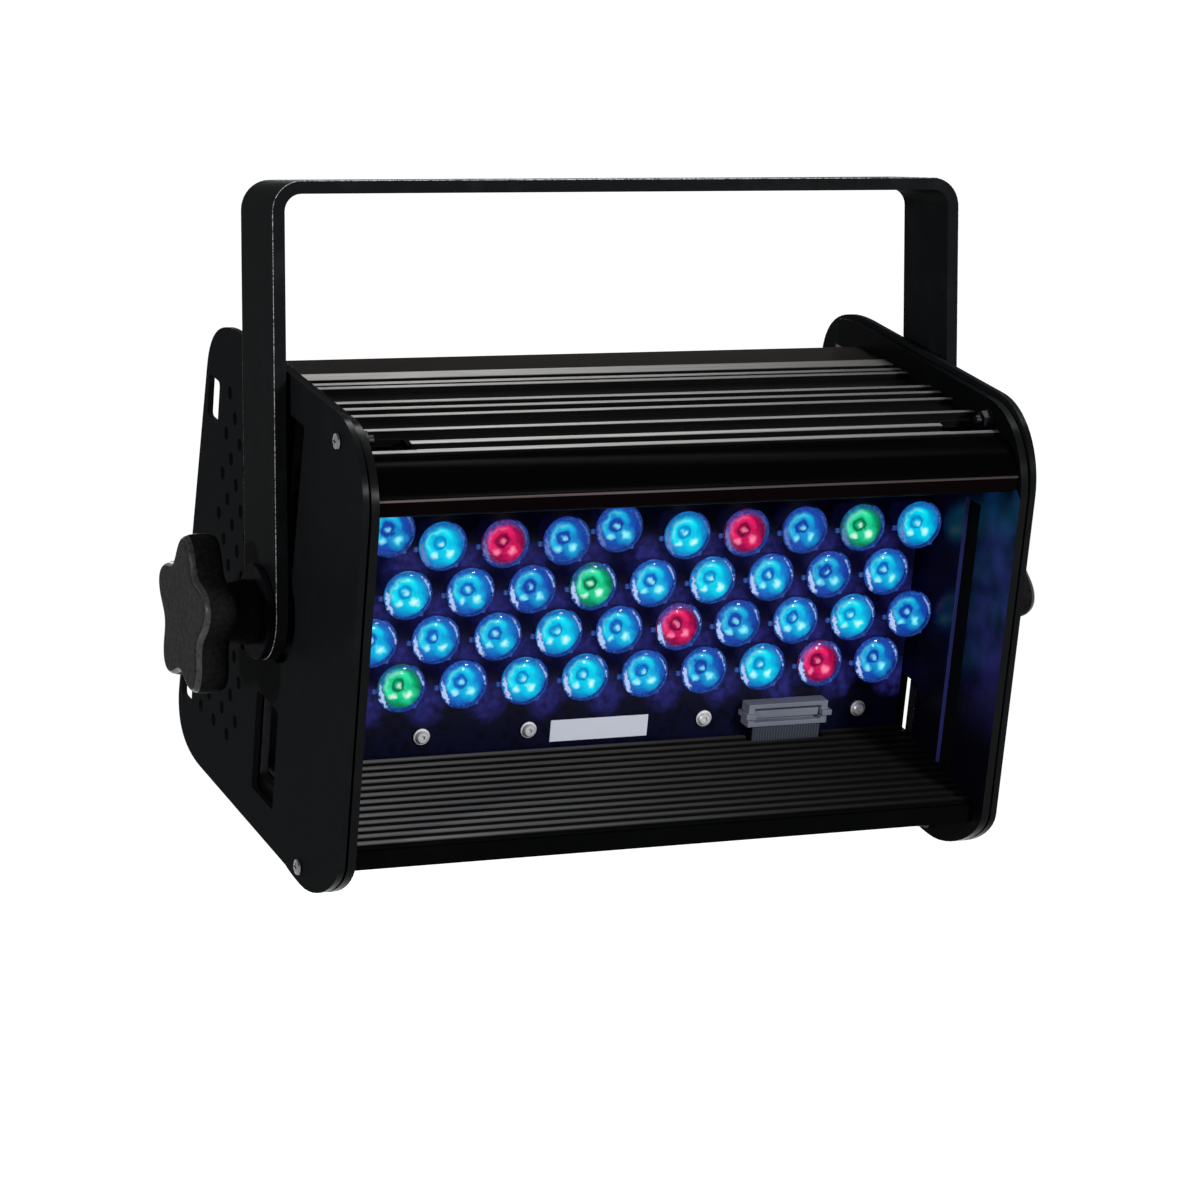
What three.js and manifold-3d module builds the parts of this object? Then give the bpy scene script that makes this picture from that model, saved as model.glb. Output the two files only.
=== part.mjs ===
// Theatre LED wash light: a tilting head of forty optics between perforated side panels, in a flat-bar yoke.
// Millimetres, +Z up, +X along the row of optics, the light leaves towards -Y; the origin is on the crossbar.
import * as THREE from 'three';
import { mergeVertices } from 'three/addons/utils/BufferGeometryUtils.js';
import Module from 'manifold-3d';

const wasm = await Module();
wasm.setup();

// Clearances shared by everything
const runClearance = 0.3;
const cutOverrun = 2;
const weldDistance = 1e-4;

// Head: how far the panels reach from the pivot axis, and its aim
const tiltDegrees = 12.1;
const panelSpan = 288;
const panelThickness = 2.5;
const panelSeam = 1;
const endPlateThickness = 3.3;
const frontReach = 87.5;
const topReach = 96.5;
const bottomReach = 98;
const rearTopReach = 104.5;
const rearBottomReach = 118.3;
const frontTopRadius = 34;
const endPlateRear = 84;
const endPlateTop = 94.5;
const topRearShare = 0.6;
const shoulderPullShare = 0.98;
const shoulderLowShare = 0.75;
const heelHighShare = 0.77;
const heelFrontShare = 0.71;
const lobeStartShare = 0.31;
const lobePullShare = 0.4;
const lobeLowShare = 0.52;
const lobeSweepShare = 0.74;
const lobeDropShare = 1.012;
const toePullShare = 0.86;
const toeHighShare = 0.76;

// Yoke: a flat bar bent to a U
const armClearance = 2.05;
const barWidth = 38.8;
const barThickness = 5.1;
const bendRadius = 12;
const pivotDrop = 170;
const hangingHoleRadius = 6.75;
const sideHoleRadius = 4.5;
const sideHoleOffset = 38;
const yokeWidth = panelSpan + 2 * (armClearance + barThickness);

// Openings in the side panels
const ventRadius = 2.7;
const ventColumnPitch = 17.4;
const ventRowPitch = 8.81;
const ventRows = 17;
const ventTop = 69.2;
const ventRear = 73.2;
const ventHeelMargin = 30.5;
const ventsInRow = 3;
const handleSlotWidth = 14;
const handleSlotHeight = 18;
const upperSlotMargin = 3.7;
const upperSlotTop = 70;
const lowerSlotMargin = 3.7;
const lowerSlotTop = -58;
const pivotOpeningRadius = 21;
const pivotSlotWidth = 31;
const pivotSlotTop = 81;
const pivotSlotTaper = 4;
const windowWidth = 26.7;
const windowHeight = 42;
const windowFront = 8.2;
const windowTop = -40;
const endWindowRise = 5.5;
const sightSlotFront = 21.2;
const sightSlotHeight = 25;
const innerSlotInset = 4;
const filterGrooveFront = 57;
const filterGrooveWidth = 12.5;
const filterGrooveDepth = 1.8;
const filterGrooveTop = 50;
const filterGrooveHeight = 117;

// Pivot hardware
const studRadius = 5;
const studFlangeRadius = 11;
const studFlangeThickness = 2;
const studTail = 2.4;
const studChamferShare = 0.2;
const spacerRadius = 16;
const washerRadius = 19;
const washerThickness = 3;
const knobLobeRadius = 32.5;
const knobValleyRadius = 23.3;
const knobLobes = 5;
const knobTurnDegrees = -8;
const knobThickness = 14;
const knobBevel = 2.6;
const knobHubLength = 15.6;
const knobHubRadius = 13;
const knobHubFlareShare = 0.25;
const knobNeckRadius = 11.6;
const knobBoreDepth = 22;

// Panel screws and their nuts
const panelScrewRadius = 1.9;
const panelScrewHeadRadius = 3.3;
const panelScrewHeadHeight = 1.4;
const panelScrewTail = 2.4;
const screwRimShare = 0.35;
const screwCrownShare = 0.62;
const nutRadius = 3.8;
const nutHeight = 3.2;
const nutFlangeRadius = 4.6;
const nutFlangeHeight = 0.9;
const topScrew = [56, 86.3];
const bottomScrew = [43.5, -92.4];

// Optics: four staggered rows of ten on one board
const opticsPerRow = 10;
const opticEndMargin = 11;
const opticPitch = (panelSpan - 2 * opticEndMargin) / opticsPerRow;
const opticRows = [32.9, 13.1, -6.2, -25.8];
const opticRadius = 10.4;
const opticNeckRadius = 5;
const opticHeight = 20.4;
const opticDome = 2.4;
const opticFootShare = 0.15;
const opticCrownShare = 0.6;
const boardFace = 8.1;
const boardThickness = 1.6;
const boardTop = 47;
const boardBottom = -62.5;
const boardScrewShares = [-0.285, -0.1215, 0.1545, 0.406];
const boardScrewLine = -54.4;
const boardScrewRadius = 1.4;
const boardScrewHeadRadius = 2.6;
const boardScrewHeadHeight = 1.5;
const boardWasherRadius = 3.5;
const boardWasherThickness = 0.7;

// Ribbon connector and ribbon cable
const connectorWidth = 37;
const connectorHeight = 10;
const connectorDepth = 7;
const connectorShare = 0.2795;
const connectorCentre = connectorShare * panelSpan;
const connectorTop = -47.4;
const connectorLatchWidth = 3;
const connectorWallShare = 0.2;
const ribbonWidth = 31;
const ribbonThickness = 1.1;
const ribbonDrop = 12.6;
const ribbonRun = 34;

// Heat sink and chassis tray behind the board
const sinkBase = 3;
const sinkFinDepth = 29;
const sinkFinThickness = 1.8;
const sinkFins = 12;
const sinkEndGap = 6;
const sinkTop = 50;
const sinkBottom = -56;
const trayWeb = 29.5;
const traySheet = 2;
const trayTop = 79;
const trayBottom = -76;
const trayFront = 6;

// Ribbed deck on top
const deckRear = -38;
const deckLength = 104;
const deckTop = 84;
const deckThickness = 3;
const deckRibHeight = 2.4;
const deckRibWidth = 2.4;
const deckBandWidth = 8.4;
const deckFrontDrop = 2.6;
const deckSlopeShare = 0.8;
const deckBandShare = 0.045;
const deckRibShares = [0.149, 0.202, 0.409, 0.495, 0.591, 0.779, 0.904, 0.984];
const deckNotchLength = 22;
const deckNotchStart = 47.5;
const deckNotchWidth = 16;

// Hoods and ribbed baffles round the front opening
const hoodSheet = 2.2;
const hoodFront = 84.5;
const hoodLipTop = 70.5;
const hoodLipHeight = 5.6;
const hoodCrownShare = 0.62;
const baffleRear = 9.2;
const baffleRibs = 13;
const baffleRibHeight = 1.5;
const baffleSheet = 1.8;
const upperBaffleRise = 16.4;
const lowerBaffleDrop = 9;
const upperBaffleRear = 48.4;
const lowerBaffleRear = -63.4;
const lowerLipFront = 80.4;
const lowerLipHeight = 7.6;

// Rear cover and bottom cover
const coverSheet = 2;
const coverTop = 86;
const coverKnee = -60;
const coverRear = -84;
const coverShoulder = 71;
const coverMitreShare = 0.6;
const bottomCoverDrop = 6;
const ventSlotLength = 34;
const ventSlotWidth = 4;
const ventSlotPitch = 12;
const ventSlotRows = 4;
const ventSlotColumns = 5;
const ventSlotColumnPitch = panelSpan / (ventSlotColumns + 1);

// Electronics behind the tray
const supplySize = [112, 36, 86];
const supplyEndGap = 9;
const supplyMiddle = 10;
const supplyEdge = 3;
const driverThickness = 1.6;
const driverHeight = 116;
const driverSupplyGap = 18;
const driverEndGap = 11;
const standoffRadius = 3;
const standoffLength = 6.5;
const standoffInset = 6;
const chokeRadius = 9;
const chokeHeight = 14;
const chokePitchShare = 0.24;
const chokes = 4;
const controlSize = [122, 1.6, 34];
const controlCentre = [6, 46];
const controlDepth = 74.4;
const displaySize = [40, 5.2, 20];
const displayOffset = -28;
const displayWindowInset = 2.5;
const buttonRadius = 3.7;
const buttonReach = 2.4;
const buttonFlangeRadius = 4.7;
const buttonFlangeThickness = 1;
const buttonStemRadius = 1.6;
const buttonTravel = 1.2;
const buttonPitch = 11.5;
const buttonCount = 4;
const buttonStart = 15;

// Inlets and outlets on the rear cover
const socketFlange = [26, 31];
const socketFlangeThickness = 2;
const socketBarrelRadius = 11.6;
const socketBarrelDepth = 20;
const socketRecessRadius = 9.4;
const socketRecessDepth = 12;
const socketPinRadius = 1.3;
const socketPinRing = 4.6;
const socketPinLength = 4.5;
const socketLine = -60;
const outerSocketShare = 0.361;
const innerSocketShare = 0.236;
const sockets = [
  { name: 'power_inlet', place: -outerSocketShare * panelSpan, pins: 3 },
  { name: 'power_outlet', place: -innerSocketShare * panelSpan, pins: 3 },
  { name: 'data_input', place: innerSocketShare * panelSpan, pins: 5 },
  { name: 'data_output', place: outerSocketShare * panelSpan, pins: 5 },
];

// Facets
const roundSteps = 18;
const finSteps = 10;
const holeSteps = 7;
const pinSteps = 6;
const washerSteps = 24;
const opticSteps = 8;
const knobSteps = 35;
const arcSteps = 5;

// Places that follow from the sizes above
const panelFace = panelSpan / 2;
const panelInner = panelFace - panelThickness;
const endPlateFace = panelInner - panelSeam;
const wallFace = endPlateFace - endPlateThickness;
const spanInside = wallFace - runClearance;
const supplyEnds = [supplyEndGap - spanInside, supplyEndGap - spanInside + supplySize[0]];
const driverEnds = [supplyEnds[1] + driverSupplyGap, spanInside - driverEndGap];
const armFace = yokeWidth / 2;
const armInner = armFace - barThickness;

const finishes = {
  panelSheet: { color: 0x18191a, roughness: 0.5, metalness: 0.1 },
  powderCoat: { color: 0x1c1d1e, roughness: 0.55, metalness: 0.1 },
  darkSheet: { color: 0x151516, roughness: 0.45, metalness: 0.3 },
  deckMetal: { color: 0x1a1a1b, roughness: 0.35, metalness: 0.6 },
  blackGloss: { color: 0x08080a, roughness: 0.18, metalness: 0.1 },
  brownSheet: { color: 0x171414, roughness: 0.5, metalness: 0.3 },
  ribbedMetal: { color: 0x151516, roughness: 0.35, metalness: 0.6 },
  knobPlastic: { color: 0x1d1e20, roughness: 0.6, metalness: 0 },
  zincSteel: { color: 0xb8babd, roughness: 0.3, metalness: 0.9 },
  paleAluminium: { color: 0xa9abad, roughness: 0.4, metalness: 0.85 },
  boardMask: { color: 0x1a2038, roughness: 0.4, metalness: 0 },
  greenBoard: { color: 0x1f4a33, roughness: 0.5, metalness: 0 },
  paleNylon: { color: 0xb9bcc2, roughness: 0.5, metalness: 0 },
  ribbonGrey: { color: 0x4b5160, roughness: 0.6, metalness: 0 },
  blackPlastic: { color: 0x161618, roughness: 0.5, metalness: 0 },
  displayGlass: { color: 0x0c1a16, roughness: 0.12, metalness: 0 },
};

// A closed geometry as a solid that can be joined and cut
function solidOf(geometry) {
  geometry.deleteAttribute('normal');
  geometry.deleteAttribute('uv');
  const merged = mergeVertices(geometry, weldDistance);
  const { array } = merged.attributes.position;
  return new wasm.Manifold(new wasm.Mesh({
    numProp: 3,
    vertProperties: new Float32Array(array),
    triVerts: new Uint32Array(merged.index.array),
  }));
}

function meshOf(name, solid, finish) {
  const { vertProperties, triVerts } = solid.getMesh();
  const geometry = new THREE.BufferGeometry();
  geometry.setAttribute('position', new THREE.BufferAttribute(new Float32Array(vertProperties), 3));
  geometry.setIndex(new THREE.BufferAttribute(new Uint32Array(triVerts), 1));
  geometry.computeVertexNormals();
  const mesh = new THREE.Mesh(geometry, new THREE.MeshStandardMaterial(finishes[finish]));
  mesh.name = name;
  return mesh;
}

// A profile drawn in (forward, up), drawn out from one x to another
function alongX(shape, from, to, steps = arcSteps) {
  const geometry = new THREE.ExtrudeGeometry(shape, {
    depth: to - from, bevelEnabled: false, curveSegments: steps,
  });
  geometry.applyMatrix4(new THREE.Matrix4().set(0, 0, -1, to, -1, 0, 0, 0, 0, 1, 0, 0, 0, 0, 0, 1));
  return solidOf(geometry);
}

// A profile drawn in (x, up), drawn out evenly to both sides of y = 0
function alongY(shape, width) {
  const geometry = new THREE.ExtrudeGeometry(shape, {
    depth: width, bevelEnabled: false, curveSegments: finSteps,
  });
  geometry.applyMatrix4(new THREE.Matrix4().set(1, 0, 0, 0, 0, 0, -1, width / 2, 0, 1, 0, 0, 0, 0, 0, 1));
  return solidOf(geometry);
}

function polygon(points) {
  return new THREE.Shape(points.map(([forward, up]) => new THREE.Vector2(forward, up)));
}

// A box given by its x range, its forward range and its height range
function block([x0, x1], [rear, front], [low, high]) {
  const geometry = new THREE.BoxGeometry(x1 - x0, front - rear, high - low);
  geometry.translate((x0 + x1) / 2, -(rear + front) / 2, (low + high) / 2);
  return solidOf(geometry);
}

// A round bar along x through the point (forward, up)
function roundAlongX(radius, [x0, x1], [forward, up], steps = roundSteps) {
  const geometry = new THREE.CylinderGeometry(radius, radius, x1 - x0, steps);
  geometry.rotateZ(Math.PI / 2);
  geometry.translate((x0 + x1) / 2, -forward, up);
  return solidOf(geometry);
}

// A round bar along the aim axis through the point (x, up)
function roundForward(radius, [rear, front], [x, up], steps = roundSteps) {
  const geometry = new THREE.CylinderGeometry(radius, radius, front - rear, steps);
  geometry.translate(x, -(rear + front) / 2, up);
  return solidOf(geometry);
}

function roundUp(radius, [low, high], [x, y], steps = roundSteps) {
  const geometry = new THREE.CylinderGeometry(radius, radius, high - low, steps);
  geometry.rotateX(Math.PI / 2);
  geometry.translate(x, y, (low + high) / 2);
  return solidOf(geometry);
}

// A turned piece: radius and distance pairs, spun about an axis along x; side is +1 outwards right, -1 left
function turnedAlongX(profile, start, side, [forward, up] = [0, 0], steps = roundSteps) {
  const points = profile.map(([radius, distance]) => new THREE.Vector2(radius, distance));
  const geometry = new THREE.LatheGeometry(points, steps);
  geometry.rotateZ(-side * Math.PI / 2);
  geometry.translate(side * start, -forward, up);
  return solidOf(geometry);
}

const sideRange = (side, near, far) => (side > 0 ? [near, far] : [-far, -near]);

function yoke() {
  const top = 0;
  const foot = -pivotDrop - barWidth / 2;
  const innerBend = bendRadius - barThickness;
  const outline = new THREE.Shape();
  outline.moveTo(-armFace, foot);
  outline.lineTo(-armInner, foot);
  outline.lineTo(-armInner, top - bendRadius);
  outline.absarc(-armFace + bendRadius, top - bendRadius, innerBend, Math.PI, Math.PI / 2, true);
  outline.lineTo(armFace - bendRadius, top - barThickness);
  outline.absarc(armFace - bendRadius, top - bendRadius, innerBend, Math.PI / 2, 0, true);
  outline.lineTo(armInner, foot);
  outline.lineTo(armFace, foot);
  outline.lineTo(armFace, top - bendRadius);
  outline.absarc(armFace - bendRadius, top - bendRadius, bendRadius, 0, Math.PI / 2, false);
  outline.lineTo(-armFace + bendRadius, top);
  outline.absarc(-armFace + bendRadius, top - bendRadius, bendRadius, Math.PI / 2, Math.PI, false);
  let solid = alongY(outline, barWidth);
  const across = [-armFace - cutOverrun, armFace + cutOverrun];
  const half = barWidth / 2 + cutOverrun;
  const corners = block(across, [-half, half], [foot - cutOverrun, -pivotDrop])
    .subtract(roundAlongX(barWidth / 2, across, [0, -pivotDrop], 2 * roundSteps));
  solid = solid.subtract(corners);
  solid = solid.subtract(roundAlongX(studRadius + runClearance, across, [0, -pivotDrop]));
  const through = [-barThickness - cutOverrun, cutOverrun];
  solid = solid.subtract(roundUp(hangingHoleRadius, through, [0, 0]));
  for (const side of [-1, 1]) {
    solid = solid.subtract(roundUp(sideHoleRadius, through, [side * sideHoleOffset, 0]));
  }
  return meshOf('yoke', solid, 'powderCoat');
}

// A five-lobe knob with its hub, drawn about the origin and pushed out along x
function clampKnob(side) {
  const lobeSwing = (knobLobeRadius - knobValleyRadius) / 2;
  const midRadius = knobValleyRadius + lobeSwing - knobBevel;
  const turn = THREE.MathUtils.degToRad(knobTurnDegrees);
  const points = [];
  for (let step = 0; step < knobSteps; step += 1) {
    const angle = (2 * Math.PI * step) / knobSteps;
    const radius = midRadius + lobeSwing * Math.cos(knobLobes * (angle - turn));
    points.push([radius * Math.sin(angle), radius * Math.cos(angle)]);
  }
  const star = new THREE.ExtrudeGeometry(polygon(points.reverse()), {
    depth: knobThickness - 2 * knobBevel,
    bevelEnabled: true,
    bevelSize: knobBevel,
    bevelThickness: knobBevel,
    bevelSegments: 1,
    curveSegments: 1,
  });
  star.translate(0, 0, knobBevel);
  const near = armFace + washerThickness + 2 * runClearance;
  const base = near + knobHubLength;
  star.applyMatrix4(new THREE.Matrix4().set(
    0, 0, side, side * base, side, 0, 0, 0, 0, 1, 0, -pivotDrop, 0, 0, 0, 1,
  ));
  const hub = turnedAlongX([
    [0, 0], [knobHubRadius, 0], [knobHubRadius, knobHubLength * knobHubFlareShare],
    [knobNeckRadius, knobHubLength], [knobNeckRadius, knobHubLength + knobBevel],
    [0, knobHubLength + knobBevel],
  ], near, side, [0, -pivotDrop]);
  const bore = roundAlongX(
    studRadius + runClearance, sideRange(side, near - cutOverrun, near + knobBoreDepth), [0, -pivotDrop],
  );
  return solidOf(star).add(hub).subtract(bore);
}

function clampWasher(side) {
  const start = armFace + runClearance;
  const range = sideRange(side, start, start + washerThickness);
  const bore = sideRange(side, start - cutOverrun, start + washerThickness + cutOverrun);
  return roundAlongX(washerRadius, range, [0, -pivotDrop], washerSteps)
    .subtract(roundAlongX(studRadius + runClearance, bore, [0, -pivotDrop]));
}

// The outline shared by a side panel and the front of the end plate behind it
function panelOutline(rearTop, rearBottom, top) {
  const outline = new THREE.Shape();
  const lobeDrop = bottomReach * lobeDropShare;
  outline.moveTo(-rearTop * topRearShare, top);
  outline.quadraticCurveTo(-rearTop * shoulderPullShare, top, -rearTop, top * shoulderLowShare);
  outline.lineTo(-rearBottom, -bottomReach * heelHighShare);
  outline.quadraticCurveTo(-rearBottom, -bottomReach, -rearBottom * heelFrontShare, -bottomReach);
  outline.lineTo(frontReach * lobeStartShare, -bottomReach);
  outline.quadraticCurveTo(frontReach * lobePullShare, -lobeDrop, frontReach * lobeLowShare, -lobeDrop);
  outline.bezierCurveTo(
    frontReach * lobeSweepShare, -lobeDrop, frontReach, -bottomReach * toePullShare,
    frontReach, -bottomReach * toeHighShare,
  );
  outline.lineTo(frontReach, top - frontTopRadius);
  outline.absarc(frontReach - frontTopRadius, top - frontTopRadius, frontTopRadius, 0, Math.PI / 2, false);
  return outline;
}

function ventHoles(side) {
  const through = sideRange(side, panelInner - cutOverrun, panelFace + cutOverrun);
  const lowRear = rearBottomReach - ventHeelMargin;
  const holes = [];
  for (let row = 0; row < ventRows; row += 1) {
    const up = ventTop - row * ventRowPitch;
    const rear = -ventRear - ((lowRear - ventRear) * row) / (ventRows - 1);
    const shift = row % 2 === 0 ? 0 : ventColumnPitch / 2;
    const count = row === 0 ? 1 : ventsInRow;
    for (let column = 0; column < count; column += 1) {
      holes.push(roundAlongX(ventRadius, through, [rear + shift + column * ventColumnPitch, up], holeSteps));
    }
  }
  return wasm.Manifold.union(holes);
}

function pivotSlot(side, inset) {
  const half = pivotSlotWidth / 2 - inset;
  const shape = polygon([
    [-half, 0], [half - pivotSlotTaper / 2, 0], [half + pivotSlotTaper / 2, pivotSlotTop - inset],
    [-half, pivotSlotTop - inset],
  ]);
  return alongX(shape, ...sideRange(side, wallFace - cutOverrun, panelFace + cutOverrun));
}

function screwHoles(side, reach) {
  const through = sideRange(side, wallFace - cutOverrun, reach + cutOverrun);
  return [topScrew, bottomScrew].map((place) => (
    roundAlongX(panelScrewRadius + runClearance, through, place, holeSteps)
  ));
}

const windowRange = [windowFront - windowWidth, windowFront];
const windowHeights = [windowTop - windowHeight, windowTop];

function sidePanel(side) {
  const outline = panelOutline(rearTopReach, rearBottomReach, topReach);
  const through = sideRange(side, panelInner - cutOverrun, panelFace + cutOverrun);
  let solid = alongX(outline, ...sideRange(side, panelInner, panelFace), roundSteps / 2);
  solid = solid.subtract(ventHoles(side));
  const handleSlots = [
    [rearTopReach - upperSlotMargin, upperSlotTop], [rearBottomReach - lowerSlotMargin, lowerSlotTop],
  ];
  for (const [rear, top] of handleSlots) {
    solid = solid.subtract(block(through, [-rear, -rear + handleSlotWidth], [top - handleSlotHeight, top]));
  }
  solid = solid.subtract(roundAlongX(pivotOpeningRadius, through, [0, 0]));
  solid = solid.subtract(pivotSlot(side, 0));
  solid = solid.subtract(block(through, windowRange, windowHeights));
  for (const hole of screwHoles(side, panelFace)) {
    solid = solid.subtract(hole);
  }
  return solid;
}

function endPlate(side) {
  const range = sideRange(side, wallFace, endPlateFace);
  const through = sideRange(side, wallFace - cutOverrun, endPlateFace + cutOverrun);
  let solid = alongX(panelOutline(rearTopReach, rearBottomReach, endPlateTop), ...range, roundSteps / 2);
  const beyond = rearTopReach + rearBottomReach;
  const everyHeight = [-bottomReach - beyond, topReach + beyond];
  solid = solid.subtract(block(through, [-beyond, -endPlateRear], everyHeight));
  const slot = pivotSlot(side, innerSlotInset);
  const above = block(through, [-beyond, beyond], [spacerRadius + innerSlotInset, topReach]);
  solid = solid.subtract(slot.intersect(above));
  solid = solid.subtract(block(through, windowRange, [windowTop - windowHeight + endWindowRise, windowTop]));
  const sight = [windowFront - cutOverrun, sightSlotFront];
  solid = solid.subtract(block(through, sight, [windowTop - sightSlotHeight, windowTop]));
  const groove = sideRange(side, wallFace - cutOverrun, wallFace + filterGrooveDepth);
  solid = solid.subtract(block(
    groove, [filterGrooveFront - filterGrooveWidth, filterGrooveFront],
    [filterGrooveTop - filterGrooveHeight, filterGrooveTop],
  ));
  solid = solid.subtract(roundAlongX(studRadius + runClearance, through, [0, 0]));
  for (const hole of screwHoles(side, endPlateFace)) {
    solid = solid.subtract(hole);
  }
  return solid;
}

function pivotSpacer(side) {
  const start = endPlateFace + studFlangeThickness + 2 * runClearance;
  const range = sideRange(side, start, armInner - runClearance);
  const bore = sideRange(side, endPlateFace - cutOverrun, armInner + cutOverrun);
  const hole = roundAlongX(studRadius + runClearance, bore, [0, 0]);
  return roundAlongX(spacerRadius, range, [0, 0]).subtract(hole);
}

function pivotStud(side) {
  const start = endPlateFace + runClearance;
  const tail = wallFace - studTail - start;
  const knobStart = armFace + washerThickness + 2 * runClearance;
  const length = knobStart + knobBoreDepth - runClearance * 3 - start;
  return turnedAlongX([
    [0, tail], [studRadius, tail], [studRadius, 0], [studFlangeRadius, 0],
    [studFlangeRadius, studFlangeThickness], [studRadius, studFlangeThickness],
    [studRadius, length - studRadius * studChamferShare], [studRadius * (1 - studChamferShare), length],
    [0, length],
  ], start, side);
}

function panelScrew(side, place) {
  const headStart = panelFace + runClearance;
  const tail = wallFace - nutHeight - nutFlangeHeight - panelScrewTail;
  return turnedAlongX([
    [0, tail - headStart], [panelScrewRadius, tail - headStart], [panelScrewRadius, 0],
    [panelScrewHeadRadius, 0],
    [panelScrewHeadRadius, panelScrewHeadHeight * screwRimShare],
    [panelScrewHeadRadius * screwCrownShare, panelScrewHeadHeight], [0, panelScrewHeadHeight],
  ], headStart, side, place, finSteps);
}

function panelNut(side, place) {
  const outer = wallFace - runClearance;
  const flangeEnd = outer - nutFlangeHeight;
  const flange = roundAlongX(nutFlangeRadius, sideRange(side, flangeEnd, outer), place, finSteps);
  const body = roundAlongX(nutRadius, sideRange(side, flangeEnd - nutHeight, flangeEnd), place, 6);
  const bore = sideRange(side, flangeEnd - nutHeight - cutOverrun, outer + cutOverrun);
  return flange.add(body).subtract(roundAlongX(panelScrewRadius + runClearance, bore, place, finSteps));
}

// The deck: a flat top with raised ribs, falling a little before the hood
function topDeck() {
  const front = deckRear + deckLength;
  const slopeStart = deckRear + deckSlopeShare * deckLength;
  const topAt = (forward) => (
    deckTop - deckFrontDrop * Math.max(0, (forward - slopeStart) / (front - slopeStart))
  );
  const ribs = [[deckRear + deckBandShare * deckLength, deckBandWidth]];
  for (const share of deckRibShares) {
    ribs.push([deckRear + share * deckLength, deckRibWidth]);
  }
  const upper = [[deckRear, deckTop]];
  for (const [centre, width] of ribs) {
    const rear = centre - width / 2;
    const fore = Math.min(centre + width / 2, front);
    upper.push([rear, topAt(rear)], [rear, topAt(rear) + deckRibHeight]);
    upper.push([fore, topAt(fore) + deckRibHeight], [fore, topAt(fore)]);
  }
  upper.push([front, topAt(front)]);
  const lower = [
    [front, topAt(front) - deckThickness], [slopeStart, deckTop - deckThickness],
    [deckRear, deckTop - deckThickness],
  ];
  const distinct = upper.filter(([forward, up], i) => (
    i === 0 || Math.hypot(forward - upper[i - 1][0], up - upper[i - 1][1]) > weldDistance
  ));
  let solid = alongX(polygon([...distinct, ...lower].reverse()), -spanInside, spanInside);
  const notchLow = deckTop - deckThickness - deckFrontDrop - cutOverrun;
  const notchHeights = [notchLow, deckTop + deckRibHeight + cutOverrun];
  for (const side of [-1, 1]) {
    const range = sideRange(side, spanInside - deckNotchLength, spanInside + cutOverrun);
    solid = solid.subtract(block(range, [deckNotchStart, deckNotchStart + deckNotchWidth], notchHeights));
  }
  return meshOf('top_deck', solid, 'deckMetal');
}

// The glossy hood: a curved shell from the deck's front edge to an upright lip
function topHood() {
  const rear = deckRear + deckLength + runClearance;
  const top = deckTop - deckFrontDrop + deckRibHeight / 2;
  const lipFoot = hoodLipTop - hoodLipHeight;
  const crown = rear + hoodCrownShare * (hoodFront - rear);
  const shape = new THREE.Shape();
  shape.moveTo(rear, top - hoodSheet);
  shape.quadraticCurveTo(crown, top - hoodSheet, hoodFront - hoodSheet, hoodLipTop - hoodSheet);
  shape.lineTo(hoodFront - hoodSheet, lipFoot);
  shape.lineTo(hoodFront, lipFoot);
  shape.lineTo(hoodFront, hoodLipTop);
  shape.quadraticCurveTo(crown + hoodSheet, top, rear, top);
  return meshOf('top_hood', alongX(shape, -spanInside, spanInside, finSteps), 'blackGloss');
}

// A sheet with half-round ribs on the side that faces the light
function ribbedSheet(start, end, inward) {
  const run = (end[0] - start[0]) / baffleRibs;
  const rise = (end[1] - start[1]) / baffleRibs;
  const points = [];
  for (let rib = 0; rib < baffleRibs; rib += 1) {
    for (let step = 0; step < arcSteps; step += 1) {
      const share = step / arcSteps;
      const swell = baffleRibHeight * Math.sqrt(Math.max(0, 1 - (2 * share - 1) ** 2));
      points.push([start[0] + run * (rib + share), start[1] + rise * (rib + share) + inward * swell]);
    }
  }
  points.push(end);
  points.push([end[0], end[1] - inward * baffleSheet], [start[0], start[1] - inward * baffleSheet]);
  return points;
}

function upperBaffle() {
  const end = [hoodFront - hoodSheet - runClearance, upperBaffleRear + upperBaffleRise];
  const points = ribbedSheet([baffleRear, upperBaffleRear], end, -1);
  return meshOf('upper_baffle', alongX(polygon(points), -spanInside, spanInside), 'ribbedMetal');
}

function lowerHood() {
  const lipTop = lowerBaffleRear - lowerBaffleDrop;
  const points = ribbedSheet([baffleRear, lowerBaffleRear], [lowerLipFront - hoodSheet, lipTop], 1);
  const rear = points.pop();
  const under = points.pop();
  const lipFoot = lipTop - lowerLipHeight;
  points.push([lowerLipFront, lipTop], [lowerLipFront, lipFoot], [under[0], lipFoot], under, rear);
  let solid = alongX(polygon(points.reverse()), -spanInside, spanInside);
  const half = ribbonWidth / 2 + cutOverrun;
  const heights = [lowerBaffleRear - lowerBaffleDrop, lowerBaffleRear + cutOverrun];
  const notch = boardFace + connectorDepth + cutOverrun;
  solid = solid.subtract(block(
    [connectorCentre - half, connectorCentre + half], [baffleRear - cutOverrun, notch], heights,
  ));
  return meshOf('lower_hood', solid, 'ribbedMetal');
}

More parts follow.
